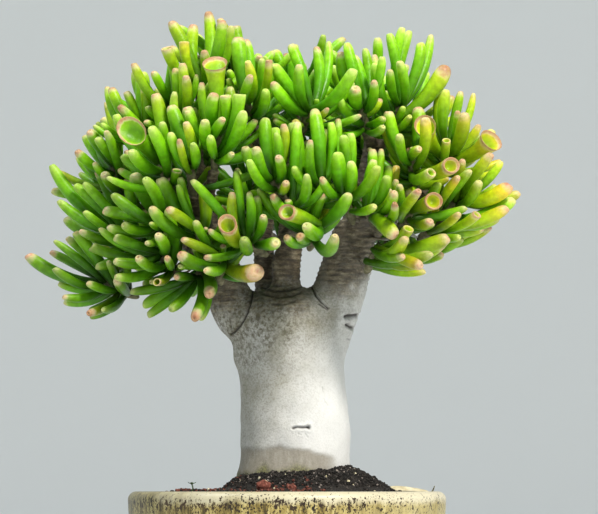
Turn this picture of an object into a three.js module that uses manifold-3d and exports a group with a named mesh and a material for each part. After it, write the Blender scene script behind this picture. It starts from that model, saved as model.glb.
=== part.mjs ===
// A potted finger jade: a succulent with tube-shaped leaves, grown as a thick-trunked bonsai.
// Millimetres, +Z up. The origin is the centre of the pot's foot, and the front is the -Y side.
// The pot, the soil with its stones, and the woody plant are separate solids, and each leafy head
// at the end of a twig is one more solid, with its leaves grown together at its stem.
import * as THREE from "three";
import { mergeVertices } from "three/addons/utils/BufferGeometryUtils.js";
import Module from "manifold-3d";

const wasm = await Module();
wasm.setup();

// ---------------------------------------------------------------- driving dimensions

const clearance = 0.3; // between solids that touch

const pot = {
  radius: 87.5, // outside the wall
  height: 60,
  wall: 9.5,
  lip: 4.5, // how far the rim's rounding reaches down
  footRadius: 62,
  footHeight: 3,
  floor: 9,
  taper: 4, // how much narrower the wall is at its bottom
  drains: 3,
  drainRadius: 5.5,
  drainSpread: 34,
  segments: 24,
};

const soil = {
  edge: 55.5, // level at the pot's wall
  level: 60.5, // level round the mound
  shoulder: 60, // radius inside which the soil is at that level
  mound: [11.5, -2], // centre of the mound that the trunk stands in
  moundHeight: 10,
  moundRadius: 45,
  moundEdge: 8, // how sharply the mound ends
  moundSlope: 0.1, // rise to the right of its centre
  crumb: 0.55, // unevenness
  rings: 6,
};

// Stones on the soil: place, size along X, Y and Z, and how far each is turned.
const lavaColour = "#9c5548";
const stones = [
  { name: "pale_stone", at: [64, -10], size: [21, 12, 9], turn: 0.2, detail: 1, colour: "#e6dcc2" },
  { name: "lava_stone_1", at: [-12, -50], size: [11, 9, 9], turn: 0.4, detail: 0, colour: lavaColour },
  { name: "lava_stone_2", at: [2, -52], size: [8, 7, 6], turn: 1.7, detail: 0, colour: lavaColour },
];
// Shares of a stone's size: its unevenness, where its flat underside is, and how far it stands out.
const stoneRule = { rough: 0.12, flat: -0.3, raised: 0.12 };

// The trunk's sections: height, centre along X, half its width.
const trunkSections = [
  [40, 4, 20],
  [58, 3.6, 33],
  [66, 3.6, 32.6],
  [75, 4.2, 30.4],
  [96, 4.7, 30],
  [120, 3, 29],
  [138, 1.6, 30.5],
  [148, 1.6, 32.6],
  [156, 1, 31.5],
  [164, 0, 26],
  [169, -1, 15],
];
const trunkDepth = 0.92; // the trunk's depth over its width
const trunkSides = 16;

// Limbs and boughs: points on the centre line with the radius there. Twigs leave from their ends.
const limbs = {
  left: [[-14, 0, 136, 18], [-28, -2, 156, 14], [-34, -3, 174, 11.8], [-41, -4, 196, 10]],
  centre: [[0, 0, 156, 10], [-0.5, -2, 172, 8], [1, -3, 190, 7.8], [3, -4, 212, 7]],
  right: [[12, 0, 136, 20], [26, -2, 160, 16], [33, -3, 184, 14.8], [38, -4, 205, 11.5]],
  behind: [[-9, 8, 152, 8], [-12, 14, 172, 6], [-14, 22, 192, 6], [-12, 36, 214, 5.5]],
  leftOut: [[-40, -4, 190, 9], [-58, -9, 199, 7.5], [-76, -10, 202, 6]],
  leftUp: [[-42, -4, 196, 8.5], [-47, -6, 222, 7], [-52, -5, 246, 5.5]],
  leftBack: [[-40, -2, 190, 8.5], [-50, 20, 206, 6.5], [-60, 38, 220, 5.5]],
  leftFront: [[-41, -6, 192, 8], [-44, -26, 200, 6], [-44, -38, 206, 5]],
  centreUp: [[3, -4, 210, 7], [-2, -6, 232, 6], [-8, -4, 252, 5.2]],
  centreFront: [[2, -5, 200, 6.5], [8, -26, 206, 5.5], [12, -38, 212, 5]],
  rightUp: [[38, -4, 203, 10], [44, -6, 228, 8], [48, -5, 250, 6.2]],
  rightOut: [[40, -5, 202, 10], [62, -9, 213, 7.5], [80, -10, 224, 6]],
  rightFront: [[38, -6, 203, 9], [42, -26, 208, 6.5], [44, -38, 212, 5.5]],
  rightBack: [[40, 0, 202, 9], [48, 24, 216, 7], [56, 40, 230, 5.8]],
};
const limbSides = 9;
const limbSteps = 4;
const boughPoints = 3; // a bough has this many points and a limb more
const boughSides = 5;
const boughSteps = 2;
const twig = {
  radius: 3.4,
  flare: 1, // how much thicker it is where it leaves its bough
  sunk: 2, // how far it starts inside its bough
  shares: [0.52, 0.61, 0.7, 0.79, 0.88, 0.97], // of the way along a bough, where twigs leave it
  choices: 24, // the nearest forks that a head may grow on
  leadsOn: 0.5, // cosine of the widest bend from a twig to its stem
};

// Leaves: a tube that swells towards its tip, where it ends in a slanting cup. The stations are
// shares of the way from root to tip, with the width there over the leaf's own width.
const leafRule = {
  length: 37,
  width: 5.6,
  stations: [[0.36, 0.86], [0.76, 1.05], [1, 0.84]],
  square: 0.9, // side of the four-sided tube over the width of the round leaf that it stands for
  bulge: 0.3, // how far a leaf leaves the straight way to its tip, to hang out below it
  squareOut: 0.5, // how much it sets out squarely from its stem
  setsOut: 1, // how far its first corners stand off the stem
  cupDepth: 0.45, // over the width
  cupSlant: 0.5,
};
// A leafy stem is square. Each face between two of its levels can be the root of a leaf. It leans
// out from its bough by one share and up by the rest.
const stem = { radius: 3, neck: 4, levels: 5, rise: 3.4, outwards: 0.6, middle: 0.4 };
const stemLength = stem.neck + stem.levels * stem.rise;

// The crown is an ellipsoid with the heads on a smaller one inside it.
const crown = { centre: [-8, 0, 222], reach: [125, 92, 100], heads: 0.74, thinnest: 0.2 };

// Leaves that stand out at the front are placed one by one, as an eye at rim height sees them
// against the plane through the trunk: [x, z] for a head, [x, z, width] for each leaf's tip.
// Where one has no room it is tried a little shorter, further aside, nearer or further away.
const eye = { x: 6.6, z: 62, distance: 1300 };
const seenRule = {
  fullness: 0.92, // a leaf's usual length over the longest one's
  leastReach: 3,
  tries: [[1, 0], [0.92, 2.5], [0.92, -2.5], [0.84, 0], [0.8, 5], [0.8, -5]], // [length, aside]
  shifts: [0, -6, 6, -12, 12, -18, 18],
};
const frontHeads = [
  { at: [-94, 203], tips: [[-129, 240, 7], [-117, 228, 5.5], [-112, 229, 5], [-120, 213, 5],
    [-105, 236, 5]] },
  { at: [-96, 239], tips: [[-116, 247, 5], [-109, 258, 6.5], [-105, 254, 5.5], [-100, 258, 5.5],
    [-100, 274, 5.5]] },
  { at: [-103, 174], tips: [[-142, 191, 6], [-130, 191, 4.5], [-128, 197, 4.5], [-121, 199, 4.5],
    [-128, 182, 4.5], [-123, 166, 4.5], [-109, 157, 4.5], [-101, 159, 4.5]] },
  { at: [-71, 191], tips: [[-95, 199, 5], [-108, 194, 5], [-95, 186, 5.5], [-82, 188, 5],
    [-103, 204, 5]] },
  { at: [-50, 174], tips: [[-86, 169, 5], [-76, 158, 5], [-64, 159, 5], [-51, 154, 6], [-61, 177, 5],
    [-96, 179, 6.5]] },
  { at: [-71, 206], tips: [[-101, 214, 5.5], [-96, 223, 6], [-84, 234, 7.5], [-90, 206, 5]] },
  { at: [-71, 241], tips: [[-86, 258, 8], [-86, 247, 6.5], [-69, 263, 5], [-73, 279, 7]] },
  { at: [-84, 257], tips: [[-80, 291, 7], [-97, 282, 5.5], [-89, 280, 4.5], [-79, 283, 5.5],
    [-93, 272, 5]] },
  { at: [-64, 272], tips: [[-74, 291, 4.5], [-64, 298, 5], [-62, 293, 5], [-58, 296, 5], [-56, 289, 5],
    [-69, 283, 5]] },
  { at: [-48, 285], tips: [[-63, 318, 6.5], [-52, 317, 5.5], [-57, 308, 5], [-42, 324, 6],
    [-36, 320, 6.5], [-46, 303, 5], [-31, 317, 5.5]] },
  { at: [-38, 259], tips: [[-40, 296, 8], [-47, 285, 5.5], [-34, 278, 5.5], [-40, 279, 6.5],
    [-26, 279, 6], [-24, 269, 6], [-35, 265, 5], [-45, 264, 6]] },
  { at: [-23, 276], tips: [[-27, 310, 7.5], [-23, 309, 5.5], [-22, 297, 5.5], [-16, 301, 5.5],
    [-10, 298, 4.5], [-20, 289, 4.5], [-12, 281, 5.5]] },
  { at: [-54, 243], tips: [[-64, 272, 7.5], [-56, 277, 7], [-62, 280, 5], [-56, 263, 5], [-52, 251, 5],
    [-57, 280, 5]] },
  { at: [-48, 202], tips: [[-70, 232, 7.5], [-66, 215, 5.5], [-60, 228, 4.5], [-57, 235, 5],
    [-51, 232, 7], [-44, 232, 6], [-38, 243, 6.5], [-37, 219, 6]] },
  { at: [-27, 199], tips: [[-28, 236, 4.5], [-30, 224, 5], [-21, 224, 5], [-33, 207, 7.5],
    [-13, 211, 4.5], [-6, 196, 6]] },
  { at: [-36, 188], tips: [[-59, 190, 6.5], [-16, 180, 8], [-58, 198, 5], [-45, 181, 5]] },
  { at: [13, 272], tips: [[-7, 295, 7.5], [-8, 285, 6.5], [2, 306, 5.5], [7, 295, 6], [16, 305, 5.5],
    [23, 308, 5], [24, 300, 5.5]] },
  { at: [41, 274], tips: [[33, 307, 5.5], [30, 302, 7.5], [37, 300, 5.5], [43, 304, 5], [46, 304, 6.5],
    [51, 302, 5], [48, 286, 5], [38, 282, 6.5]] },
  { at: [-9, 234], tips: [[-12, 265, 6], [-6, 257, 5], [-17, 249, 6], [-21, 242, 5], [-5, 244, 5]] },
  { at: [3, 219], tips: [[3, 263, 7], [6, 263, 5], [1, 242, 5.5], [9, 248, 5.5], [-4, 239, 5]] },
  { at: [19, 230], tips: [[15, 270, 7], [21, 259, 6.5], [24, 263, 5], [28, 265, 4.5], [9, 272, 5.5],
    [13, 253, 5]] },
  { at: [17, 206], tips: [[-9, 228, 6.5], [-16, 226, 5], [-1, 213, 7.5], [10, 206, 7], [27, 210, 5.5],
    [34, 223, 7]] },
  { at: [30, 224], tips: [[35, 257, 5.5], [28, 246, 8], [35, 241, 5.5], [19, 232, 5], [35, 234, 7.5],
    [18, 225, 7.5]] },
  { at: [43, 216], tips: [[47, 248, 5], [52, 248, 5], [48, 242, 5.5], [55, 233, 5], [59, 224, 5],
    [59, 218, 5]] },
  { at: [50, 193], tips: [[59, 202, 8], [67, 204, 5.5], [89, 199, 8], [74, 184, 4.5], [36, 198, 5]] },
  { at: [63, 274], tips: [[57, 310, 5.5], [64, 316, 5], [68, 314, 6], [57, 292, 5], [73, 305, 4.5],
    [80, 313, 6], [88, 294, 8], [62, 297, 5]] },
  { at: [89, 252], tips: [[96, 280, 5], [94, 269, 5], [98, 268, 7], [103, 279, 4.5], [76, 261, 7.5],
    [113, 253, 8], [105, 263, 5], [88, 281, 5.5]] },
  { at: [68, 242], tips: [[91, 239, 8], [73, 248, 5], [80, 235, 6], [72, 271, 7.5], [56, 269, 6.5],
    [62, 256, 5]] },
  { at: [98, 220], tips: [[97, 242, 5.5], [101, 236, 5.5], [118, 241, 4.5], [123, 228, 7.5],
    [106, 230, 5.5], [93, 234, 5]] },
  { at: [90, 210], tips: [[125, 220, 7.5], [122, 210, 6.5], [117, 204, 6.5], [95, 199, 4.5],
    [105, 212, 5]] },
  { at: [69, 214], tips: [[81, 219, 8], [79, 208, 5], [62, 228, 5], [73, 225, 5]] },
];

// Other leaves follow the golden angle round their stem, from nearly level at its foot to upright.
const goldenShare = (Math.sqrt(5) - 1) / 2;
const ruled = {
  frontFill: 2, // leaves added to each front head
  backHeads: 22,
  backLeaves: 9,
  lowest: -0.36, // of the way down from the crown's centre to its bottom, for the lowest back head
  sideways: 0.96, // share of the half turn behind the trunk that the back heads spread over
  tilts: [1.15, 0.2], // away from the stem, in radians
  tiltRange: 0.2,
  widths: [0.88, 0.3], // of the leaf's own width: the least, and the range above it
  lengths: [0.78, 0.3],
  headTurn: 1.7, // how far the leaves of one head are turned from those of the last
  lift: 0.15, // upwards, from the direction by the golden angle
  steepest: -0.3, // the furthest down that a leaf points
  highest: 319, // level that no tip passes
  shrinks: [1, 0.85, 0.7],
  shifts: [0, 0.4, -0.4, 0.8, -0.8, 1.3, -1.3, 1.9, -1.9, 2.6],
};
// Faces of the stem that are tried for each form of a leaf: the least that one faces its way, and
// what each level too high or low costs it.
const rootRule = { choices: 3, facing: 0.3, levelCost: 0.16 };
const touching = 1e-7; // solids that share more than this, in cubic millimetres, cross each other

const colours = {
  pot: "#c9b98a",
  soil: "#2c2622",
  trunk: "#a9a59a",
  leaf: "#7da62b",
};

// ---------------------------------------------------------------- solids and meshes

const up = new THREE.Vector3(0, 0, 1);
const front = new THREE.Vector3(0, -1, 0);

// An even draw from 0 to 1 that depends on a whole number alone.
function draw(seed) {
  const step = (seed * 2654435769 + 1831565813) | 0;
  let mixed = Math.imul(step ^ (step >>> 15), 1 | step);
  mixed = (mixed + Math.imul(mixed ^ (mixed >>> 7), 61 | mixed)) ^ mixed;
  return ((mixed ^ (mixed >>> 14)) >>> 0) / 4294967296;
}

function solidOf(geometry) {
  const bare = geometry.clone();
  bare.deleteAttribute("normal");
  bare.deleteAttribute("uv");
  const merged = mergeVertices(bare, 1e-4);
  return new wasm.Manifold(
    new wasm.Mesh({
      numProp: 3,
      vertProperties: new Float32Array(merged.attributes.position.array),
      triVerts: new Uint32Array(merged.index.array),
    }),
  );
}

function geometryOf(solid) {
  const mesh = solid.getMesh();
  const geometry = new THREE.BufferGeometry();
  geometry.setAttribute("position", new THREE.BufferAttribute(mesh.vertProperties, 3));
  geometry.setIndex(new THREE.BufferAttribute(mesh.triVerts, 1));
  geometry.computeVertexNormals();
  return geometry;
}

// Pieces joined into one solid. Slivers that the joining leaves are smoothed away.
function joined(geometries, sliver = 0.08) {
  return geometries.map(solidOf).reduce((whole, piece) => whole.add(piece)).simplify(sliver);
}

// The outer skin alone, so that a hollow closed in by the joining is filled.
function filled(solid) {
  const skins = solid.decompose();
  return skins.reduce((largest, skin) => (skin.volume() > largest.volume() ? skin : largest));
}

// A closed skin over rings of points that run from one end to the other, with a point at each end.
function skinned(rings, start, end) {
  const sides = rings[0].length;
  const points = [start, ...rings.flat(), end];
  const last = points.length - 1;
  const faces = [];
  for (let side = 0; side < sides; side++) {
    const next = (side + 1) % sides;
    faces.push(0, 1 + next, 1 + side);
    for (let ring = 0; ring < rings.length - 1; ring++) {
      const low = 1 + ring * sides;
      const high = low + sides;
      faces.push(low + side, low + next, high + next);
      faces.push(low + side, high + next, high + side);
    }
    faces.push(last, last - sides + side, last - sides + next);
  }
  return new THREE.BufferGeometry().setFromPoints(points).setIndex(faces);
}

function ringOf(centre, across, along, sides) {
  return Array.from({ length: sides }, (_, side) => {
    const angle = (2 * Math.PI * side) / sides;
    return centre
      .clone()
      .addScaledVector(across, Math.cos(angle))
      .addScaledVector(along, Math.sin(angle));
  });
}

// A round bar along a curve, with radiusAt giving its radius from 0 to 1 along it.
function barAlong(curve, radiusAt, sides, steps) {
  const frames = curve.computeFrenetFrames(steps, false);
  const rings = frames.tangents.map((_, step) => {
    const radius = radiusAt(step / steps);
    const across = frames.normals[step].clone().multiplyScalar(radius);
    const along = frames.binormals[step].clone().multiplyScalar(radius);
    return ringOf(curve.getPointAt(step / steps), across, along, sides);
  });
  return skinned(rings, curve.getPoint(0), curve.getPoint(1));
}

function turned(profile, segments) {
  const points = profile.map(([radius, height]) => new THREE.Vector2(radius, height));
  return new THREE.LatheGeometry(points, segments).rotateX(Math.PI / 2);
}

// ---------------------------------------------------------------- the pot

const innerTop = pot.radius - pot.wall;
const innerBottom = innerTop - pot.taper;

function potSolid() {
  const { radius, height, lip, taper, footRadius, footHeight, floor, wall } = pot;
  const rimMiddle = radius - wall / 2;
  const profile = [
    [0, 0],
    [footRadius, 0],
    [footRadius, footHeight],
    [radius - taper - 7, footHeight],
    [radius - taper - 2, footHeight + 2],
    [radius - taper, footHeight + 7],
    [radius - 0.6, height - 3 * lip],
    [radius, height - lip],
    [rimMiddle + 0.3 * wall, height - 0.3 * lip],
    [rimMiddle, height],
    [rimMiddle - 0.3 * wall, height - 0.3 * lip],
    [innerTop, height - lip],
    [innerBottom, floor],
    [0, floor],
  ];
  let solid = solidOf(turned(profile, pot.segments));
  for (let drain = 0; drain < pot.drains; drain++) {
    const angle = (2 * Math.PI * drain) / pot.drains + Math.PI / 6;
    const hole = new THREE.CylinderGeometry(pot.drainRadius, pot.drainRadius, 3 * floor, 12)
      .rotateX(Math.PI / 2)
      .translate(pot.drainSpread * Math.cos(angle), pot.drainSpread * Math.sin(angle), 0);
    solid = solid.subtract(solidOf(hole));
  }
  return solid;
}

// ---------------------------------------------------------------- the woody plant

// The trunk's sections are ellipses. grow makes the hole in the soil that the trunk stands in.
function trunkGeometry(grow = 0) {
  const rings = trunkSections.map(([height, centre, half], index) => {
    const level = index === 0 ? height - grow : height;
    const across = new THREE.Vector3(half + grow, 0, 0);
    const along = new THREE.Vector3(0, trunkDepth * half + grow, 0);
    return ringOf(new THREE.Vector3(centre, 0, level), across, along, trunkSides);
  });
  const [bottom, bottomCentre] = trunkSections[0];
  const [top, topCentre] = trunkSections.at(-1);
  const lowest = new THREE.Vector3(bottomCentre, 0, bottom - grow);
  const highest = new THREE.Vector3(topCentre, 0, top + 2);
  return skinned(rings, lowest, highest);
}

function limbCurve(points) {
  return new THREE.CatmullRomCurve3(points.map(([x, y, z]) => new THREE.Vector3(x, y, z)));
}

function limbRadius(points) {
  return (t) => {
    const place = t * (points.length - 1);
    const before = Math.min(Math.floor(place), points.length - 2);
    return THREE.MathUtils.lerp(points[before][3], points[before + 1][3], place - before);
  };
}

// ---------------------------------------------------------------- the heads of leaves

function atDepth([x, z], depth) {
  const spread = 1 + depth / eye.distance;
  return new THREE.Vector3(eye.x + (x - eye.x) * spread, depth, eye.z + (z - eye.z) * spread);
}

// How far out towards the eye the ellipsoid of heads is at a place seen from the front.
function frontDepth([x, z]) {
  const [centreX, , centreZ] = crown.centre;
  const [reachX, reachY, reachZ] = crown.reach.map((reach) => reach * crown.heads);
  const inside = 1 - ((x - centreX) / reachX) ** 2 - ((z - centreZ) / reachZ) ** 2;
  return -reachY * Math.sqrt(Math.max(crown.thinnest ** 2, inside));
}

// Places on the rear half of the ellipsoid, spread by the golden ratio.
function backPlace(index) {
  const rise = THREE.MathUtils.lerp(ruled.lowest, 1, (index + 0.5) / ruled.backHeads);
  const share = ((index * goldenShare) % 1) * ruled.sideways + (1 - ruled.sideways) / 2;
  const turn = Math.PI * share;
  const level = Math.sqrt(1 - rise * rise);
  const direction = [level * Math.cos(turn), level * Math.sin(turn), rise];
  const place = direction.map((part, axis) => crown.centre[axis] + part * crown.reach[axis] * crown.heads);
  return new THREE.Vector3(...place);
}

// Twigs leave the outer half of a bough, one at each fork.
const forks = Object.values(limbs).flatMap((points) => {
  const line = limbCurve(points);
  return twig.shares.map((share) => line.getPoint(share));
});

// A head's stem leans out from the bough that it grows on, and up.
function headFrom(fork, at) {
  const outwards = at.clone().sub(fork).normalize().multiplyScalar(stem.outwards);
  const axis = outwards.addScaledVector(up, 1 - stem.outwards).normalize();
  const foot = at.clone().addScaledVector(axis, -stemLength);
  const rings = stemRings(foot, axis);
  return { at, axis, foot, fork, rings, roots: rootsOf(rings) };
}

function stemRings(foot, axis) {
  const side = new THREE.Vector3().crossVectors(axis, front).normalize();
  const towards = new THREE.Vector3().crossVectors(axis, side);
  const heights = [clearance];
  for (let level = 0; level <= stem.levels; level++) heights.push(stem.neck + level * stem.rise);
  return heights.map((height) => {
    const centre = foot.clone().addScaledVector(axis, height);
    const [across, along] = [side, towards].map((vector) => vector.clone().multiplyScalar(stem.radius));
    return ringOf(centre, across, along, 4);
  });
}

// The faces that leaves can grow from: those round the stem above its neck, and the one at its end.
function rootsOf(rings) {
  const roots = [];
  for (let level = 1; level < rings.length - 1; level++) {
    for (let side = 0; side < 4; side++) {
      const next = (side + 1) % 4;
      const [lower, upper] = [rings[level], rings[level + 1]];
      const corners = [lower[side], lower[next], upper[next], upper[side]];
      roots.push({ level, side, corners });
    }
  }
  roots.push({ level: rings.length - 1, side: 0, corners: [...rings.at(-1)] });
  roots.forEach((root) => {
    const [first, second, third] = root.corners;
    root.centre = first.clone().add(third).multiplyScalar(0.5);
    root.across = second.clone().sub(first).normalize();
    root.out = new THREE.Vector3().crossVectors(root.across, third.clone().sub(second)).normalize();
    root.free = true;
  });
  return roots;
}

// A leaf's curve sets out away from the stem and low, and turns up to its tip.
function leafCurve({ root, tip }) {
  const chord = tip.clone().sub(root.centre);
  const length = chord.length();
  const direction = chord.normalize();
  const lift = up.clone().addScaledVector(direction, -direction.z);
  const start = direction
    .clone()
    .addScaledVector(root.out, leafRule.squareOut)
    .addScaledVector(lift, -leafRule.bulge);
  const middle = root.centre.clone().addScaledVector(start.normalize(), 0.5 * length);
  return new THREE.QuadraticBezierCurve3(root.centre, middle, tip);
}

// The corners of a leaf's rings, from the one nearest its root to the rim, and the bottom of its cup.
function leafPoints(leaf, grow = 0) {
  const curve = leafCurve(leaf);
  const rings = leafRule.stations.map(([station, width], index) => {
    const ahead = curve.getTangent(station);
    const across = leaf.root.across.clone().addScaledVector(ahead, -ahead.dot(leaf.root.across)).normalize();
    const upper = new THREE.Vector3().crossVectors(ahead, across);
    if (index === leafRule.stations.length - 1) upper.addScaledVector(ahead, -leafRule.cupSlant);
    const half = leaf.radius * leafRule.square * width + grow;
    return [[-1, -1], [1, -1], [1, 1], [-1, 1]].map(([sideways, upwards]) =>
      curve
        .getPoint(station)
        .addScaledVector(across, sideways * half)
        .addScaledVector(upper, upwards * half),
    );
  });
  const cup = leaf.tip.clone().addScaledVector(curve.getTangent(1), -2 * leafRule.cupDepth * leaf.radius);
  return { rings, cup };
}

// ---------------------------------------------------------------- growing without crossing

// Everything that has grown so far. Wood is head -1.
const grown = [];

function grow(geometry, head) {
  geometry.computeBoundingBox();
  grown.push({ solid: solidOf(geometry), box: geometry.boundingBox, head });
}

function meetsAny(geometry, matters) {
  geometry.computeBoundingBox();
  const near = grown.filter((other) => matters(other) && other.box.intersectsBox(geometry.boundingBox));
  if (near.length === 0) return false;
  const solid = solidOf(geometry);
  return near.some((other) => solid.intersect(other.solid).volume() > touching);
}

// The four walls from one ring of corners to the next, or from a ring to one point.
function wall(faces, edge, ring) {
  for (let side = 0; side < 4; side++) {
    const next = (side + 1) % 4;
    if (ring.length === 1) faces.push(edge[side], edge[next], ring[0]);
    else faces.push(edge[side], edge[next], ring[next], edge[side], ring[next], ring[side]);
  }
}

function addLeaf(points, faces, leaf, edge, grow = 0) {
  const { rings, cup } = leafPoints(leaf, grow);
  [...rings, [cup]].forEach((ring) => {
    const places = ring.map((_, place) => points.length + place);
    points.push(...ring);
    wall(faces, edge, places);
    edge = places;
  });
}

function leafGeometry(leaf, grow = 0) {
  const points = [...leaf.root.corners];
  const faces = [0, 3, 2, 0, 2, 1];
  addLeaf(points, faces, leaf, [0, 1, 2, 3], grow);
  return new THREE.BufferGeometry().setFromPoints(points).setIndex(faces);
}

function stemGeometry({ rings }, grow = 0) {
  const points = rings.flatMap((ring) => {
    const middle = ring[0].clone().add(ring[2]).multiplyScalar(0.5);
    const grownBy = -grow / stem.radius;
    return ring.map((corner) => corner.clone().lerp(middle, grownBy));
  });
  const faces = [3, 2, 1, 3, 1, 0];
  let edge = [0, 1, 2, 3];
  for (let level = 1; level < rings.length; level++) {
    const ring = edge.map((place) => place + 4);
    wall(faces, edge, ring);
    edge = ring;
  }
  faces.push(edge[0], edge[1], edge[2], edge[0], edge[2], edge[3]);
  return new THREE.BufferGeometry().setFromPoints(points).setIndex(faces);
}

// A twig runs from its bough to the foot of its head's stem, which it faces squarely. Each has its
// own roll about its length, so that no two share an edge.
function twigGeometry({ fork, foot, axis }) {
  const way = foot.clone().sub(fork).normalize();
  const start = fork.clone().addScaledVector(way, -twig.sunk);
  const ends = [[start, way, twig.radius + twig.flare], [foot, axis, twig.radius]];
  const rings = ends.map(([centre, ahead, radius]) => {
    const across = new THREE.Vector3().crossVectors(ahead, front).normalize().applyAxisAngle(ahead, fork.x);
    const along = new THREE.Vector3().crossVectors(ahead, across);
    return ringOf(centre, across.multiplyScalar(radius), along.multiplyScalar(radius), 4);
  });
  return skinned(rings, start, foot);
}

// A head grows on the nearest fork that leads on to it and leaves its stem and twig a clear way.
function grownHead(at, index) {
  const nearest = forks.toSorted((one, other) => one.distanceTo(at) - other.distanceTo(at));
  const leadsOn = ({ fork, foot, axis }) => foot.clone().sub(fork).normalize().dot(axis) > twig.leadsOn;
  const choices = nearest.slice(0, twig.choices).map((fork) => headFrom(fork, at)).filter(leadsOn);
  const isStem = (other) => other.head >= 0;
  const stemClear = (choice) => !meetsAny(stemGeometry(choice, 2 * clearance), () => true);
  const head = choices.find((choice) => stemClear(choice) && !meetsAny(twigGeometry(choice), isStem));
  forks.splice(forks.indexOf(head.fork), 1);
  grow(twigGeometry(head), -1);
  grow(stemGeometry(head), index);
  return { ...head, leaves: [] };
}

// True where the whole of a leaf's first ring lies outside the face that it grows from.
function setsOut(leaf) {
  const [first] = leafPoints(leaf).rings;
  const standOff = (corner) => corner.clone().sub(leaf.root.centre).dot(leaf.root.out);
  return first.every((corner) => standOff(corner) > leafRule.setsOut);
}

// The first of a leaf's possible forms that has room is the one that grows.
function growLeaf(head, index, forms) {
  const isOther = (other) => other.head !== index;
  const isOwn = (other) => other.head === index;
  const isClear = (leaf) =>
    !meetsAny(leafGeometry(leaf), isOwn) && !meetsAny(leafGeometry(leaf, clearance), isOther);
  const form = forms.find((leaf) => setsOut(leaf) && isClear(leaf));
  if (!form) return;
  grow(leafGeometry(form), index);
  head.leaves.push(form);
  form.root.free = false;
}

// The free roots that face a direction best, with a liking for the level that suits its tilt.
function bestRoots(head, direction) {
  const upright = direction.dot(head.axis);
  const wanted = THREE.MathUtils.lerp(1, stem.levels + 1, THREE.MathUtils.clamp(upright, 0, 1));
  const cost = (root) => rootRule.levelCost * Math.abs(root.level - wanted) - root.out.dot(direction);
  const free = head.roots.filter((root) => root.free && root.out.dot(direction) > rootRule.facing);
  return free.sort((one, other) => cost(one) - cost(other)).slice(0, rootRule.choices);
}

// A leaf whose tip is seen at [x, z]: what its full length leaves over points towards the eye.
function seenForms(head, [x, z, width]) {
  const forms = [];
  const flat = atDepth([x, z], head.at.y);
  const middle = head.at.clone().addScaledVector(head.axis, -stem.middle * stemLength);
  const across = Math.hypot(flat.x - middle.x, flat.z - middle.z);
  const length = seenRule.fullness * leafRule.length;
  const reach = Math.sqrt(Math.max(seenRule.leastReach ** 2, length ** 2 - across ** 2));
  for (const [shrink, aside] of seenRule.tries) {
    const radius = (width / 2) * Math.sqrt(shrink);
    for (const shift of seenRule.shifts) {
      const tip = atDepth([x + aside, z], middle.y - reach + shift);
      for (const root of bestRoots(head, tip.clone().sub(middle).normalize())) {
        forms.push({ root, tip: root.centre.clone().lerp(tip, shrink), radius });
      }
    }
  }
  return forms;
}

// A leaf set by the golden angle round the stem, more upright the nearer it is to the stem's end.
function ruledForms(head, index, order, count) {
  const forms = [];
  const share = (order + 0.5) / count;
  const seed = index * 100 + order * 3;
  const side = new THREE.Vector3().crossVectors(head.axis, front).normalize();
  const other = new THREE.Vector3().crossVectors(head.axis, side);
  const [leastWidth, widthRange] = ruled.widths;
  const [leastLength, lengthRange] = ruled.lengths;
  const radius = (leafRule.width / 2) * (leastWidth + widthRange * draw(seed));
  const length = leafRule.length * (leastLength + lengthRange * draw(seed + 1));
  const tilt = THREE.MathUtils.lerp(...ruled.tilts, share) + ruled.tiltRange * (draw(seed + 2) - 0.5);
  for (const shrink of ruled.shrinks) {
    for (const shift of ruled.shifts) {
      const turn = 2 * Math.PI * (1 - goldenShare) * order + ruled.headTurn * index + shift;
      const direction = head.axis
        .clone()
        .multiplyScalar(Math.cos(tilt))
        .addScaledVector(side, Math.sin(tilt) * Math.cos(turn))
        .addScaledVector(other, Math.sin(tilt) * Math.sin(turn));
      direction.z = Math.max(direction.z + ruled.lift, ruled.steepest);
      direction.normalize();
      for (const root of bestRoots(head, direction)) {
        const tip = root.centre.clone().addScaledVector(direction, length * shrink);
        if (tip.z < ruled.highest) forms.push({ root, tip, radius: radius * Math.sqrt(shrink) });
      }
    }
  }
  return forms;
}

// ---------------------------------------------------------------- the plant

const limbGeometries = Object.values(limbs).map((points) => {
  const isLimb = points.length > boughPoints;
  const sides = isLimb ? limbSides : boughSides;
  return barAlong(limbCurve(points), limbRadius(points), sides, isLimb ? limbSteps : boughSteps);
});
grow(trunkGeometry(), -1);
limbGeometries.forEach((geometry) => grow(geometry, -1));

const places = [
  ...frontHeads.map(({ at }) => atDepth(at, frontDepth(at))),
  ...Array.from({ length: ruled.backHeads }, (_, index) => backPlace(index)),
];
const heads = places.map(grownHead);
frontHeads.forEach(({ tips }, index) => {
  tips.forEach((tip) => growLeaf(heads[index], index, seenForms(heads[index], tip)));
});
heads.forEach((head, index) => {
  const count = index < frontHeads.length ? ruled.frontFill : ruled.backLeaves;
  for (let order = 0; order < count; order++) {
    growLeaf(head, index, ruledForms(head, index, order, count));
  }
});

// A head's skin is its stem's, with a leaf's skin in place of each face that bears one.
function headGeometry(head) {
  const points = head.rings.flat();
  const faces = [3, 2, 1, 3, 1, 0];
  wall(faces, [0, 1, 2, 3], [4, 5, 6, 7]);
  head.roots.forEach((root) => {
    const edge = root.corners.map((corner) => points.indexOf(corner));
    const leaf = head.leaves.find((grownLeaf) => grownLeaf.root === root);
    if (leaf) addLeaf(points, faces, leaf, edge);
    else faces.push(edge[0], edge[1], edge[2], edge[0], edge[2], edge[3]);
  });
  const geometry = new THREE.BufferGeometry().setFromPoints(points).setIndex(faces);
  geometry.computeVertexNormals();
  return geometry;
}

function woodSolid() {
  const twigs = heads.map((head) => twigGeometry(head));
  return filled(joined([trunkGeometry(), ...limbGeometries, ...twigs]));
}

// ---------------------------------------------------------------- the soil and its stones

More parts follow.
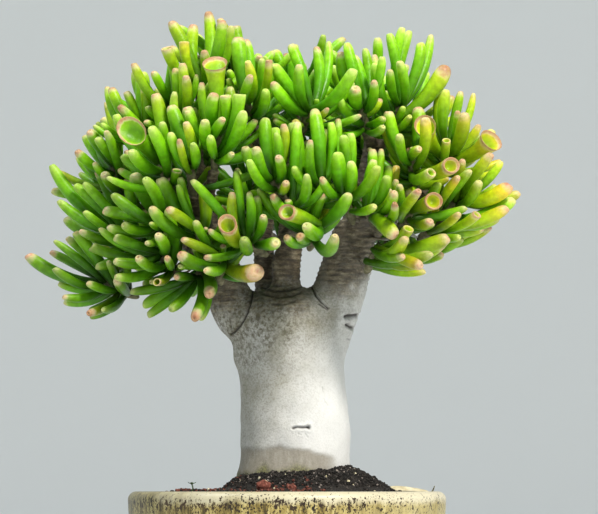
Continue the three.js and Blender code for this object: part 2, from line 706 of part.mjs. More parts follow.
function soilHeight(x, y) {
  const radius = Math.hypot(x, y);
  const slope = THREE.MathUtils.smoothstep(radius, soil.shoulder, innerTop);
  const fromMound = Math.hypot(x - soil.mound[0], y - soil.mound[1]) / soil.moundRadius;
  const crumbs = soil.crumb * (Math.sin(x / 2.3 + y / 4.1) + Math.sin(y / 1.9 - x / 5.3));
  const top = soil.moundHeight + soil.moundSlope * Math.max(x - soil.mound[0], 0);
  const mound = top * Math.exp(-(fromMound ** soil.moundEdge));
  return soil.level - (soil.level - soil.edge) * slope + mound + crumbs;
}

function stoneSolid({ at, size, turn, detail }, grow = 0) {
  const geometry = new THREE.IcosahedronGeometry(0.5, detail);
  const points = geometry.attributes.position;
  for (let index = 0; index < points.count; index++) {
    const [x, y, z] = [points.getX(index), points.getY(index), points.getZ(index)];
    const rough = 1 + stoneRule.rough * Math.sin(7 * x + 11 * y + 5 * z + 9 * turn);
    points.setXYZ(index, x * rough, y * rough, Math.max(z * rough, stoneRule.flat));
  }
  geometry.scale(size[0] + 2 * grow, size[1] + 2 * grow, size[2] + 2 * grow);
  geometry.rotateZ(turn);
  return solidOf(geometry.translate(at[0], at[1], soilHeight(...at) + stoneRule.raised * size[2]));
}

function soilSolid() {
  const bottom = pot.floor + clearance;
  const wallRadius = (height) => {
    const rise = (height - pot.floor) / (pot.height - pot.lip - pot.floor);
    return THREE.MathUtils.lerp(innerBottom, innerTop, rise) - 1.5 * clearance;
  };
  const edge = wallRadius(soil.edge);
  const profile = [[0, bottom], [wallRadius(bottom), bottom], [edge, soil.edge - 1]];
  for (let ring = 0; ring < soil.rings; ring++) profile.push([edge * (1 - ring / soil.rings), soil.edge]);
  profile.push([0, soil.edge]);
  const geometry = turned(profile, pot.segments);
  const points = geometry.attributes.position;
  for (let index = 0; index < points.count; index++) {
    const [x, y] = [points.getX(index), points.getY(index)];
    if (points.getZ(index) > soil.edge - 0.5) points.setZ(index, soilHeight(x, y));
  }
  return stones.reduce(
    (whole, stone) => whole.subtract(stoneSolid(stone, clearance)),
    solidOf(geometry).subtract(solidOf(trunkGeometry(clearance))),
  );
}

// ---------------------------------------------------------------- the whole plant

const plant = new THREE.Group();

function place(name, geometry, color, roughness) {
  const material = new THREE.MeshStandardMaterial({ color, roughness, metalness: 0, flatShading: true });
  const mesh = new THREE.Mesh(geometry, material);
  mesh.name = name;
  plant.add(mesh);
}

place("pot", geometryOf(potSolid()), colours.pot, 0.35);
place("soil", geometryOf(soilSolid()), colours.soil, 0.95);
stones.forEach((stone) => place(stone.name, geometryOf(stoneSolid(stone)), stone.colour, 0.9));
place("trunk", geometryOf(woodSolid()), colours.trunk, 0.8);
heads.forEach((head, index) => {
  place(`leaf_head_${String(index + 1).padStart(2, "0")}`, headGeometry(head), colours.leaf, 0.35);
});

export default plant;
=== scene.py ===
import math
from functools import partial

import bmesh
import bpy
import numpy as np
from mathutils import Matrix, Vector
from mathutils.bvhtree import BVHTree


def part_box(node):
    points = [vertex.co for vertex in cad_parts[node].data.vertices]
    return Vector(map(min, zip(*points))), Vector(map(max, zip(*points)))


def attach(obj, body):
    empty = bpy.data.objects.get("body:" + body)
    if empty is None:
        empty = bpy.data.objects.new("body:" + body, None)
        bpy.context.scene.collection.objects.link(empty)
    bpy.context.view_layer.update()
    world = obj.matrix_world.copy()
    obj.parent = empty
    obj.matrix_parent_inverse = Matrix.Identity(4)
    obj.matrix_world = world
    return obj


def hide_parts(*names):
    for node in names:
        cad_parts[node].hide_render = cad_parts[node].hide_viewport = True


# A potted finger jade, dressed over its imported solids. Metres, +Z up, front towards -Y.
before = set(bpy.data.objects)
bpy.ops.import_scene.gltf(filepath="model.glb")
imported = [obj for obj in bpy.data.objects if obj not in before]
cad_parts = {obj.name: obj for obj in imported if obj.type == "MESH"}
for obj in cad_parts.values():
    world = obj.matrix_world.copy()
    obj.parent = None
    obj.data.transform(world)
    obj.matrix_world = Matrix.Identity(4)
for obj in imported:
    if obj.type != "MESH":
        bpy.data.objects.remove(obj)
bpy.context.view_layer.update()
chance = np.random.default_rng(11)
print("frame loaded:", len(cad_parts), "nodes")


def unit(vectors):
    return vectors / np.maximum(np.linalg.norm(vectors, axis=-1, keepdims=True), 1e-12)


def smoothStep(values, low, high):
    share = np.clip((values - low) / (high - low), 0, 1)
    return share * share * (3 - 2 * share)


# sRGB hex to linear: each channel c becomes ((c + 0.055) / 1.055) ** 2.4 above 0.04045
def linear(hexCode):
    channels = np.array([int(hexCode[i:i + 2], 16) / 255 for i in (1, 3, 5)])
    curved = ((channels + 0.055) / 1.055) ** 2.4
    return (*np.where(channels > 0.04045, curved, channels / 12.92), 1.0)


# One node with its settings and links, which gives back one of its outputs: the first, or the one that is
# named. The kind is a name, or a name with settings. An input is a socket to link from, a hex colour or a
# value, in order or by name with _ for a space. Stops are the places and hex colours of a ramp.
def addNode(tree, kind, *inOrder, give=None, stops=(), **named):
    kind, settings = (kind, {}) if isinstance(kind, str) else kind
    node = tree.nodes.new("ShaderNode" + kind)
    for key, value in settings.items():
        setattr(node, key, value)
    while stops and len(node.color_ramp.elements) < len(stops):
        node.color_ramp.elements.new(0.5)
    for index, (place, colour) in enumerate(stops):
        point = node.color_ramp.elements[index]
        point.position, point.color = place, linear(colour)
    inputs = list(zip([socket for socket in node.inputs if socket.enabled], inOrder))
    inputs += [(node.inputs[key.replace("_", " ")], value) for key, value in named.items()]
    for socket, value in inputs:
        if isinstance(value, bpy.types.NodeSocket):
            tree.links.new(value, socket)
        else:
            socket.default_value = linear(value) if isinstance(value, str) else value
    if give:
        return node.outputs[give]
    return next((socket for socket in node.outputs if socket.enabled), None)


# nodes that mix colours and work out numbers
blend = ("Mix", {"data_type": "RGBA"})
multiply = ("Mix", {"data_type": "RGBA", "blend_type": "MULTIPLY"})
plus = ("Math", {"operation": "ADD"})
minus = ("Math", {"operation": "SUBTRACT"})
times = ("Math", {"operation": "MULTIPLY"})
timesPlus = ("Math", {"operation": "MULTIPLY_ADD"})
larger = ("Math", {"operation": "MAXIMUM"})
fine = 0.55  # roughness of most noises


# an empty material, addNode for its tree, and the place on the object that its patterns are worked out from
def newMaterial(name):
    material = bpy.data.materials.new(name)
    material.use_nodes = True
    material.node_tree.nodes.clear()
    add = partial(addNode, material.node_tree)
    return material, add, add("TexCoord", give="Object")


# the shader with its inputs, linked to the surface
def finishMaterial(material, **inputs):
    shader = addNode(material.node_tree, "BsdfPrincipled", **inputs)
    addNode(material.node_tree, "OutputMaterial", Surface=shader)
    return material


hashTurns, hashSeed, hashScale = (127.1, 311.7, 74.7), 53.3, 43758.5453


# smooth noise from -1 to 1 in space: a hash of each lattice corner, eased between the 8 corners of its cell
def solidNoise(points, cell, seed=0):
    scaled = points / cell
    corner = np.floor(scaled)
    ease = smoothStep(scaled - corner, 0, 1)
    total = np.zeros(points.shape[:-1])
    for offset in np.ndindex(2, 2, 2):
        mixed = np.sin((corner + offset) @ hashTurns + seed * hashSeed) * hashScale
        share = np.where(np.array(offset) == 1, ease, 1 - ease).prod(-1)
        total += share * (2 * (mixed - np.floor(mixed)) - 1)
    return total


def addObject(name, data):
    thing = bpy.data.objects.new(name, data)
    bpy.context.scene.collection.objects.link(thing)
    return thing


# the mesh of an object with its modifiers worked in
def modifiedMesh(thing):
    return bpy.data.meshes.new_from_object(thing.evaluated_get(bpy.context.evaluated_depsgraph_get()))


# the points, normals and faces of a mesh that is being worked on
def arraysOf(work):
    work.normal_update()
    work.verts.index_update()
    points = np.array([vertex.co[:] for vertex in work.verts])
    normals = np.array([vertex.normal[:] for vertex in work.verts])
    return points, normals, [[vertex.index for vertex in face.verts] for face in work.faces]


# a mesh piece from points and faces, with its attributes, riding on the one body
def makePiece(name, points, faces, materials, replaced=(), attributes=None, faceMaterial=None,
              smooth=True):
    mesh = bpy.data.meshes.new(name)
    mesh.from_pydata(np.asarray(points).tolist(), [], [list(face) for face in faces])
    for key, values in (attributes or {}).items():
        layer = mesh.attributes.new(key, "FLOAT", "POINT")
        layer.data.foreach_set("value", np.asarray(values, np.float32))
    for material in materials:
        mesh.materials.append(material)
    mesh.polygons.foreach_set("use_smooth", np.full(len(faces), smooth))
    if faceMaterial is not None:
        mesh.polygons.foreach_set("material_index", np.asarray(faceMaterial, np.int32))
    mesh.validate()
    mesh.update()
    piece = addObject(name, mesh)
    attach(piece, "root")
    if replaced:
        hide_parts(*replaced)
    return piece


# quads between rows of a tube whose columns run round it, facing out when they turn to the left
def gridFaces(rows, columns):
    row, column = np.meshgrid(np.arange(rows - 1), np.arange(columns), indexing="ij")
    after = (column + 1) % columns
    below, above = row * columns, (row + 1) * columns
    return np.stack([below + column, below + after, above + after, above + column], -1).reshape(-1, 4)


# the points and triangles of a CAD node, with the corners of its loose triangles merged
def mergedMesh(node):
    work = bmesh.new()
    work.from_mesh(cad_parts[node].data)
    bmesh.ops.remove_doubles(work, verts=work.verts, dist=2e-6)
    bmesh.ops.triangulate(work, faces=work.faces)
    points, _, triangles = arraysOf(work)
    work.free()
    return points, np.array(triangles)


studio = {
    "eye": (0.0066, -1.3, 0.062),  # level with the pot's rim
    "aim": (0.0066, 0.0, 0.1879),
    "lens": 143.4, "sensor": 36,  # mm
    "imageSize": (598, 514),
    "pixel": 0.00055,  # metres of the plant that a pixel of the photo shows
    "lightAim": (0, 0, 0.18),
    "floorRadius": 1.5, "sweepRadius": 0.8, "wallTop": 2.0, "floorTurns": 96,
    "floorColour": "#e4e8e9",
    "keyPower": 33, "keySize": 0.3, "keyPlace": (0.62, -1.0, 1.3), "keyColour": "#fff9ee",
    "fillPower": 1.0, "fillSize": 1.2, "fillPlace": (-1.2, -1.1, 0.6), "fillColour": "#e6f1ff",
    "backPower": 11, "backSize": 0.5, "backPlace": (-0.55, -0.1, 1.35), "backColour": "#f4f8ff",
    "skyStrength": 0.25, "skyColour": "#e6f1f8",
}


# puts a camera or lamp at a place, looking at another, with its top up
def pointAt(thing, place, aim):
    forward = unit(np.array(aim) - np.array(place))
    across = unit(np.cross(forward, (0, 0, 1)))
    turned = np.eye(4)
    turned[:3, 0], turned[:3, 1], turned[:3, 2] = across, np.cross(across, forward), -forward
    turned[:3, 3] = place
    thing.matrix_world = Matrix(turned.tolist())


# the middle of the photo in its pixels, its pixels per unit of slope, and the eye with its three directions
def viewAxes():
    eye, aim = np.array(studio["eye"]), np.array(studio["aim"])
    forward = unit(aim - eye)
    across = unit(np.cross(forward, (0, 0, 1)))
    size = np.array(studio["imageSize"])
    scale = studio["lens"] / studio["sensor"] * size[0]
    return size / 2, scale, eye, forward, across, np.cross(across, forward)


# where points are seen in the photo, in its pixels from the top left corner
def photoPlace(points):
    middle, scale, eye, forward, across, rise = viewAxes()
    offset = points - eye
    slopes = np.stack([offset @ across, -(offset @ rise)], -1) / (offset @ forward)[..., None]
    return middle + scale * slopes


# the point at a depth y that is seen at a place in the photo
def spotSeen(place, depth):
    middle, scale, eye, forward, across, rise = viewAxes()
    right, down = (np.array(place) - middle) / scale
    ray = forward + right * across - down * rise
    return eye + (depth - eye[1]) / ray[1] * ray


# points (centre + radius cos a, centre + radius sin a) of an arc, in degrees
def arcOf(centre, radius, start, end, count):
    angle = np.radians(np.linspace(start, end, count))
    return np.stack([centre[0] + radius * np.cos(angle), centre[1] + radius * np.sin(angle)], -1)


# a profile of (radius, height) turned round Z: x = radius cos a, y = radius sin a
def lathe(profile, turns):
    angle = np.arange(turns) * 2 * np.pi / turns
    circle = np.stack([np.cos(angle), np.sin(angle), np.zeros(turns)], -1)
    rings = profile[:, 0][:, None, None] * circle
    rings[..., 2] = profile[:, 1][:, None]
    return rings.reshape(-1, 3)


# the first and last ring of a lathe closed to a point each, which come after the rings
def capFaces(rings, turns):
    last = rings * turns
    side = np.arange(turns)
    after = (side + 1) % turns
    start = np.stack([after, side, np.full(turns, last)], -1)
    end = np.stack([last - turns + side, last - turns + after, np.full(turns, last + 1)], -1)
    return np.concatenate([start, end]).tolist()


# the camera, three soft lamps, a dim sky and a floor
def makeStudio():
    scene = bpy.context.scene
    camera = addObject("camera", bpy.data.cameras.new("camera"))
    camera.data.lens = studio["lens"]
    camera.data.sensor_width = studio["sensor"]
    camera.data.clip_end = 20
    scene.camera = camera
    pointAt(camera, studio["eye"], studio["aim"])
    for name in ("key", "fill", "back"):
        light = bpy.data.lights.new(name, "AREA")
        light.energy = studio[name + "Power"]
        light.size = studio[name + "Size"]
        light.color = linear(studio[name + "Colour"])[:3]
        pointAt(addObject(name, light), studio[name + "Place"], studio["lightAim"])
    world = bpy.data.worlds.new("softSky")
    world.use_nodes = True
    sky = world.node_tree.nodes["Background"].inputs
    sky["Color"].default_value = linear(studio["skyColour"])
    sky["Strength"].default_value = studio["skyStrength"]
    scene.world = world
    scene.view_settings.view_transform = "Standard"
    # painted floor that sweeps up all round, open above: matt and even
    material = finishMaterial(newMaterial("paintedFloor")[0], Base_Color=studio["floorColour"], Roughness=0.9)
    radius, sweep = studio["floorRadius"], studio["sweepRadius"]
    profile = np.concatenate([
        [(0.001, 0), (0.5 * radius, 0)],
        arcOf((radius, sweep), sweep, -90, 0, 16),
        [(radius + sweep, studio["wallTop"])],
    ])
    mesh = bpy.data.meshes.new("floor")
    turns = studio["floorTurns"]
    mesh.from_pydata(lathe(profile, turns).tolist(), [], gridFaces(len(profile), turns).tolist())
    mesh.materials.append(material)
    mesh.polygons.foreach_set("use_smooth", np.full(len(mesh.polygons), True))
    addObject("floor", mesh)


makeStudio()
print("studio ready")


leaf = {
    "sides": 8,
    "cage": 1.1,  # the cage is this much wider than the leaf, because subdivision draws it in
    # stations of a closed tip and of an open cup: way along the leaf, share of its radius, place on its
    # colours
    "closed": [(-0.05, 0.55, 0.0), (0.14, 0.68, 0.14), (0.36, 0.88, 0.36), (0.6, 1.02, 0.6),
               (0.78, 1.04, 0.78), (0.9, 0.94, 0.9), (0.97, 0.7, 0.96), (1.0, 0.38, 0.99),
               (0.995, 0.12, 1.04)],
    "open": [(-0.05, 0.55, 0.0), (0.14, 0.62, 0.14), (0.36, 0.78, 0.36), (0.6, 0.9, 0.6),
             (0.8, 0.98, 0.8), (0.93, 1.06, 0.9), (1.0, 1.13, 1.01), (0.975, 0.97, 0.94),
             (0.84, 0.42, 0.6)],
    "endDepth": 0.25,  # how far the last point lies behind the last station, in radii
    "tipFrom": 0.62, "taperFrom": 0.45, "taperTo": 1.05,  # where flare and lean, and where taper, set in
    "openShare": 0.06, "openWidest": 0.0034,  # how many leaves end in an open cup, and how thick they may be
    "slant": 0.4,
    # the first station of a leaf of the solids, whose rings are four-sided
    "solidShare": 0.36, "solidWidth": 0.86, "solidSquare": 0.9,
}

# Leaves of their own shape, by where their tips are seen in the photo.
heroLeaves = {
    "spoon": {"tip": (128, 131), "open": 1.15, "flare": 1.38, "face": 1.2, "sunny": 0.1},
    "trumpetTop": {"tip": (215, 62), "open": 1.2, "flare": 1.3, "face": 0.8, "sunny": 0.3},
    "trumpetRight": {"tip": (490, 141), "open": 1.2, "flare": 1.3, "face": 0.3, "sunny": 0.7},
    "cupLeft": {"tip": (227, 224), "open": 0.9, "flare": 1.1, "face": 0.8, "sunny": 0.5},
    "cupMiddle": {"tip": (320, 190), "open": 0.8, "flare": 1.0, "face": 0.6, "sunny": 0.3},
    "cupRight": {"tip": (434, 202), "open": 0.9, "flare": 1.0, "face": 0.6, "sunny": 0.7},
    "cupMid": {"tip": (286, 213), "open": 0.8, "flare": 1.0, "face": 0.6, "sunny": 0.3},
    "ringCup": {"tip": (425, 126), "open": 1.2, "flare": 1.2, "face": 0.8, "sunny": 0.6},
    "cupHigh": {"tip": (452, 165), "open": 0.8, "flare": 1.0, "face": 0.5, "sunny": 0.6},
    "club": {"tip": (443, 68), "open": 0.0, "flare": 1.15, "face": 0.2, "sunny": 0.4},
    "golden": {"tip": (258, 271), "open": 0.1, "flare": 1.2, "face": 0.7, "sunny": 0.8, "blush": 0.6},
}

# Leaves of their own that grow from the nearest stem: the middle of the curve and the tip as seen in the
# photo, each with its depth, and the radius.
hangingLeaves = {
    "leftLow": {"middle": ((207, 292), -0.040), "tip": ((200, 320), -0.048), "radius": 0.0036},
    "rightLow": {"middle": ((410, 257), -0.030), "tip": ((447, 240), -0.036), "radius": 0.0038},
    "overBranch": {"middle": ((381, 222), -0.066), "tip": ((396, 237), -0.074), "radius": 0.0041},
    "topRight": {"middle": ((417, 70), -0.012), "tip": ((420, 43), -0.010), "radius": 0.0034},
}

# Leaves that are turned a little, to end where the photo shows them: where the tip is seen in the solids and
# where it goes, with the radius, and how far the middle sags below the solid's.
turnedLeaves = [
    # along the top
    {"from": (248, 28), "to": (247, 46)},
    {"from": (260, 32), "to": (259, 54)},
    {"from": (269, 33), "to": (275, 50)},
    {"from": (419, 46), "to": (431, 34), "radius": 0.0031},
    {"from": (390, 37), "to": (389, 33), "radius": 0.0033},
    {"from": (211, 12), "to": (208, 11), "radius": 0.0038},
    {"from": (173, 23), "to": (171, 21), "radius": 0.0036},
    # down the left side
    {"from": (28, 251), "to": (27, 254), "radius": 0.0037, "sag": 0.005},
    {"from": (53, 163), "to": (51, 164), "radius": 0.0038, "sag": 0.005},
    {"from": (69, 212), "to": (58, 200), "radius": 0.0032},
    {"from": (63, 152), "to": (84, 135), "radius": 0.0032},
    {"from": (193, 25), "to": (194, 24), "radius": 0.0034},
    {"from": (88, 84), "to": (107, 86)},
    {"from": (45, 306), "to": (58, 283)},
    {"from": (148, 311), "to": (147, 316)},
    # beside and over the right branch
    {"from": (336, 217), "to": (335, 235), "radius": 0.0036},
    {"from": (338, 233), "to": (432, 253)},
    {"from": (353, 239), "to": (404, 256)},
    {"from": (394, 231), "to": (422, 266), "radius": 0.0031},
    # low at the right
    {"from": (477, 248), "to": (462, 237)},
    {"from": (497, 235), "to": (491, 226)},
    {"from": (487, 239), "to": (483, 228)},
    {"from": (500, 228), "to": (499, 217)},
    {"from": (509, 217), "to": (508, 207)},
    {"from": (465, 243), "to": (455, 230)},
]

# Where leaves fill the crown in the photo, in its pixels. Nearer to the outline, added leaves keep close to
# those of the solids.
fullCrown = [
    (50, 268), (62, 240), (72, 200), (95, 150), (130, 100), (180, 62), (225, 52), (262, 76), (300, 62),
    (345, 72), (400, 72), (440, 100), (470, 130), (490, 165), (500, 190), (480, 212), (440, 224), (400, 230),
    (350, 205), (300, 225), (262, 225), (240, 250), (215, 262), (190, 285), (150, 288), (120, 292),
    (100, 298),
]

# Bare wood and the gaps between the branches in the photo, in its pixels: added leaves keep clear of them.
bareWood = [
    [(210, 268), (224, 262), (236, 290), (262, 292), (262, 235), (275, 228), (300, 240), (318, 250),
     (327, 242), (348, 225), (353, 217), (373, 236), (380, 250), (376, 272), (368, 300), (355, 330),
     (220, 330), (205, 310)],
    [(243, 254), (262, 256), (262, 268), (255, 268), (243, 258)],
]


# Every leaf of the solids ends in a pit with four sides. From the pit's bottom this walks back over the
# rings of four corners, rim first: the corner that faces an edge of one ring belongs to the next.
def leafRings(points, triangles):
    count = len(points)
    starts = triangles.ravel()
    ends = np.roll(triangles, -1, axis=1).ravel()
    facing = np.roll(triangles, -2, axis=1).ravel()
    keys = starts * count + ends
    order = np.argsort(keys)

    def cornerFacing(first, second):
        return facing[order[np.searchsorted(keys[order], first * count + second)]]

    fans = np.flatnonzero(np.bincount(starts, minlength=count) == 4)
    ring = np.empty((len(fans), 4), int)
    outgoing = np.argsort(starts, kind="stable")
    ring[:, 0] = ends[outgoing[np.searchsorted(starts[outgoing], fans)]]
    for side in range(1, 4):
        ring[:, side] = cornerFacing(fans, ring[:, side - 1])
    corners = points[ring]
    normal = np.cross(corners[:, 1] - corners[:, 0], corners[:, 2] - corners[:, 1])
    isPit = ((points[fans] - corners.mean(1)) * normal).sum(1) < 0
    rings = [ring[isPit]]
    for _ in range(3):
        rings.append(cornerFacing(np.roll(rings[-1], -1, axis=1), rings[-1]))
    return rings[::-1], fans[isPit]


# The curve, radius and roll of each leaf of a head, and the head's stem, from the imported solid. A leaf's
# curve is a quadratic Bezier, so its handle follows from its first station.
def leafSkeletons(node):
    points, triangles = mergedMesh(node)
    rings, pits = leafRings(points, triangles)
    root, near, _, rim = [points[ring] for ring in rings]
    start, tip = root.mean(1), rim.mean(1)
    share = leaf["solidShare"]
    handle = (near.mean(1) - (1 - share) ** 2 * start - share ** 2 * tip) / (2 * share * (1 - share))
    radius = np.linalg.norm(near[:, 1] - near[:, 0], axis=1) / (2 * leaf["solidSquare"] * leaf["solidWidth"])
    across = unit(root[:, 1] - root[:, 0])
    inLeaves = np.unique(np.concatenate([ring.ravel() for ring in rings[1:]] + [pits]))
    stemPoints = np.delete(points, inLeaves, axis=0)
    middle = stemPoints.mean(0)
    axis = np.linalg.svd(stemPoints - middle)[2][0]
    axis = axis * np.sign(axis @ (tip.mean(0) - middle))
    along = (stemPoints - middle) @ axis
    stem = {"foot": middle + along.min() * axis, "top": middle + along.max() * axis, "axis": axis}
    return {"start": start, "handle": handle, "tip": tip, "radius": radius, "across": across}, stem


# points and directions on the leaves' curves: (1-t)^2 start + 2t(1-t) handle + t^2 tip, at the same shares t
# of all leaves or at each leaf's own
def leafCurves(leaves, shares):
    t = np.asarray(shares)[None, :, None] if np.ndim(shares) == 1 else shares[:, :, None]
    start, handle, tip = [leaves[key][:, None] for key in ("start", "handle", "tip")]
    place = (1 - t) ** 2 * start + 2 * t * (1 - t) * handle + t ** 2 * tip
    ahead = unit(2 * (1 - t) * (handle - start) + 2 * t * (tip - handle))
    return place, ahead


# Rings round each leaf's curve: radius(t) * (across cos a + upper sin a). Near the tip a ring leans: each
# point moves along the leaf by less where it stands out towards the side that the tip faces.
def leafSurfaces(leaves):
    count = len(leaves["radius"])
    closed, opened = np.array(leaf["closed"]), np.array(leaf["open"])
    stations = closed + leaves["open"][:, None, None] * (opened - closed)
    shares, widths, way = stations[..., 0], stations[..., 1].copy(), stations[..., 2]
    nearTip = smoothStep(closed[:, 0], leaf["tipFrom"], 1.0)
    widths *= 1 + (leaves["flare"][:, None] - 1) * nearTip
    widths *= 1 - leaves["taper"][:, None] * smoothStep(closed[:, 0], leaf["taperFrom"], leaf["taperTo"])
    place, ahead = leafCurves(leaves, shares)
    across = leaves["across"][:, None]
    across = unit(across - (ahead * across).sum(-1, keepdims=True) * ahead)
    upper = np.cross(ahead, across)
    angle = np.arange(leaf["sides"]) * 2 * np.pi / leaf["sides"]
    radius = (leaves["radius"][:, None] * widths * leaf["cage"])[..., None, None]
    cos, sin = np.cos(angle)[:, None], np.sin(angle)[:, None]
    outward = radius * (across[:, :, None] * cos + upper[:, :, None] * sin)
    lean = (outward * leaves["lean"][:, None, None]).sum(-1, keepdims=True)
    points = place[:, :, None] + outward - lean * nearTip[None, :, None, None] * ahead[:, :, None]
    end = place[:, -1] - leaf["endDepth"] * leaves["radius"][:, None] * ahead[:, -1]
    allPoints = np.concatenate([points.reshape(count, -1, 3), end[:, None]], 1)
    rows, sides = len(closed), leaf["sides"]
    last = rows * sides
    cap = [(last - sides + side, last - sides + (side + 1) % sides, last) for side in range(sides)]
    way = np.concatenate([np.repeat(way, sides, axis=1), way[:, -1:]], 1)
    return allPoints, gridFaces(rows, sides).tolist() + cap, way


# Old and young leaves, sun, and painted shade: how the look of a leaf follows from where its tip is, and
# chance.
ripeningAndShade = {
    "sunLine": (-0.07, 0.04),  # leaves redden and yellow across this range of x - 0.4 z
    "sunRise": 0.4,
    "sunFlecks": 0.08, "sunFleck": 0.4,  # some leaves anywhere are more yellow, by this much
    "highFrom": (0.25, 0.28), "leftFrom": (0.015, 0.05), "highSun": 0.3, "highBlush": 0.1,
    "blushShape": (1.6, 2.6), "blushOfSun": 0.2, "heroBlush": 0.9,
    # painted shade: leaves low on the plant and to its left are darker
    "lightLine": (0.14, 0.28), "lightLean": 0.35,  # darker low on the plant and to its left
    "toneLow": 0.1, "toneOfLight": 0.6, "toneChance": (-0.15, 0.3),
    "taper": (-0.04, 0.3),
}


# sets the cup, lean and colours of every leaf, and then of the heroes: the leaf whose tip is seen nearest
def chooseForms(heads):
    for leaves in heads.values():
        count = len(leaves["radius"])
        opened = (chance.random(count) < leaf["openShare"]) & (leaves["radius"] < leaf["openWidest"])
        leaves["open"] = np.where(opened, chance.uniform(0.4, 0.9, count), chance.uniform(0, 0.15, count))
        leaves["flare"] = np.ones(count)
        leaves["lean"] = leaf["slant"] * chance.uniform(0.1, 1.2, (count, 1)) * np.array([0, 0, 1.0])
        x, _, z = leaves["tip"].T
        sunny = smoothStep(x - ripeningAndShade["sunRise"] * z, *ripeningAndShade["sunLine"])
        sunny *= chance.uniform(0.05, 1.05, count)
        highLeft = smoothStep(z, *ripeningAndShade["highFrom"]) * smoothStep(-x, *ripeningAndShade["leftFrom"])
        sunny += ripeningAndShade["highSun"] * highLeft * chance.random(count)
        flecks = (chance.random(count) < ripeningAndShade["sunFlecks"]) * ripeningAndShade["sunFleck"]
        leaves["sunny"] = np.clip(sunny + flecks, 0, 1)
        blush = chance.beta(*ripeningAndShade["blushShape"], count) + ripeningAndShade["blushOfSun"] * leaves["sunny"]
        leaves["blush"] = np.clip(blush + ripeningAndShade["highBlush"] * highLeft, 0, 1)
        # painted shade: tone falls low on the plant and to its left
        light = smoothStep(z + ripeningAndShade["lightLean"] * x, *ripeningAndShade["lightLine"])
        tone = ripeningAndShade["toneLow"] + ripeningAndShade["toneOfLight"] * light
        leaves["tone"] = np.clip(tone + chance.uniform(*ripeningAndShade["toneChance"], count), 0, 1)
        leaves["taper"] = chance.uniform(*ripeningAndShade["taper"], count) * (1 - leaves["open"])
    towards = np.array([0, -1.0, 0.1])  # the viewer
    for hero in heroLeaves.values():
        name, index, gap = leafSeenAt(hero["tip"])
        leaves = heads[name]
        for key in ("open", "flare", "sunny"):
            leaves[key][index] = hero[key]
        leaves["blush"][index] = hero.get("blush", ripeningAndShade["heroBlush"])
        leaves["taper"][index] = 0
        leaves["lean"][index] = hero["face"] * towards
        print("leaf for", hero["tip"], "is", gap, "pixels off")


heads, stems = {}, {}
for node in sorted(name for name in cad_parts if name.startswith("leaf_head")):
    heads[node], stems[node] = leafSkeletons(node)
print("leaves found:", sum(len(leaves["radius"]) for leaves in heads.values()))

growth = {
    "tries": 84, "turns": 6, "nudge": 0.4,  # for each head, and for each leaf, and radians between its turns
    "least": 0.012, "most": 0.034,  # length
    "thin": 0.0020, "thick": 0.0033,  # radius
    "budShare": 0.86, "budSize": 0.55,  # the last ones, at the end of the stem, are young and small
    "tiltLow": 1.4, "tiltFall": 1.2, "tiltChance": 0.15,  # off the stem's axis: at its foot, less at its top
    "footFrom": 0.15, "footSpread": 0.8, "footOut": 0.0012,  # along the stem in shares, and out from its axis
    "sag": 0.25, "lift": 0.1, "steepest": -0.35,
    "touch": 0.94,  # distance kept between two leaves, over the sum of their radii
    "clearOfWood": 1.1,  # in radii
    "reach": 0.07,  # leaves further away than this don't matter
    "stray": 7,  # pixels of the photo that an added leaf may be seen beside those of the solids
    "plump": 1.12,  # leaves of the solids are drawn this much thicker
}


# the leaf whose tip is seen nearest to a place in the photo: its head, its number and how far off it is
def leafSeenAt(place):
    gaps = {node: np.linalg.norm(photoPlace(leaves["tip"]) - place, axis=1) for node, leaves in heads.items()}
    node = min(gaps, key=lambda name: gaps[name].min())
    return node, gaps[node].argmin(), round(float(gaps[node].min()), 1)


# thickens the leaves of the solids, and moves the tips of the turned ones, and their handles by half of that
def turnLeaves():
    for leaves in heads.values():
        leaves["radius"] *= growth["plump"]
    found = [leafSeenAt(turned["from"]) for turned in turnedLeaves]
    for turned, (node, index, gap) in zip(turnedLeaves, found):
        leaves = heads[node]
        goal = spotSeen(turned["to"], leaves["tip"][index][1])
        sag = np.array([0, 0, turned.get("sag", 0)])
        leaves["handle"][index] += 0.5 * (goal - leaves["tip"][index]) - sag
        leaves["tip"][index] = goal
        leaves["radius"][index] = turned.get("radius", leaves["radius"][index])
    print("leaves turned:", len(found), "furthest off in pixels:", max(gap for _, _, gap in found))


# True for places inside an outline: a line to their right crosses it an odd number of times
def insideOutline(places, outline):
    x, y = places[:, 0, None], places[:, 1, None]
    firstX, firstY = np.array(outline, float).T
    nextX, nextY = np.roll(firstX, -1), np.roll(firstY, -1)
    between = (firstY > y) != (nextY > y)
    crossing = firstX + (y - firstY) * (nextX - firstX) / np.where(nextY == firstY, 1, nextY - firstY)
    return (between & (x < crossing)).sum(1) % 2 == 1


# adds the hanging leaves to the heads whose stems they start from
def hangLeaves():
    middles = {node: (stem["foot"] + stem["top"]) / 2 for node, stem in stems.items()}
    for name, hung in hangingLeaves.items():
        middle, tip = spotSeen(*hung["middle"]), spotSeen(*hung["tip"])
        node = min(middles, key=lambda stem: np.linalg.norm(middles[stem] - middle))
        start = middles[node]
        handle = 2 * middle - (start + tip) / 2  # so that the curve passes through the middle
        one = {"start": start, "handle": handle, "tip": tip, "radius": hung["radius"],
               "across": unit(np.cross(tip - start, (0.2, 0.1, 1)))}
        for key, value in one.items():
            heads[node][key] = np.concatenate([heads[node][key], np.array([value])])
        print(name, "hangs from", node, "over", round(float(np.linalg.norm(tip - start)) * 1000), "mm")


turnLeaves()
hangLeaves()


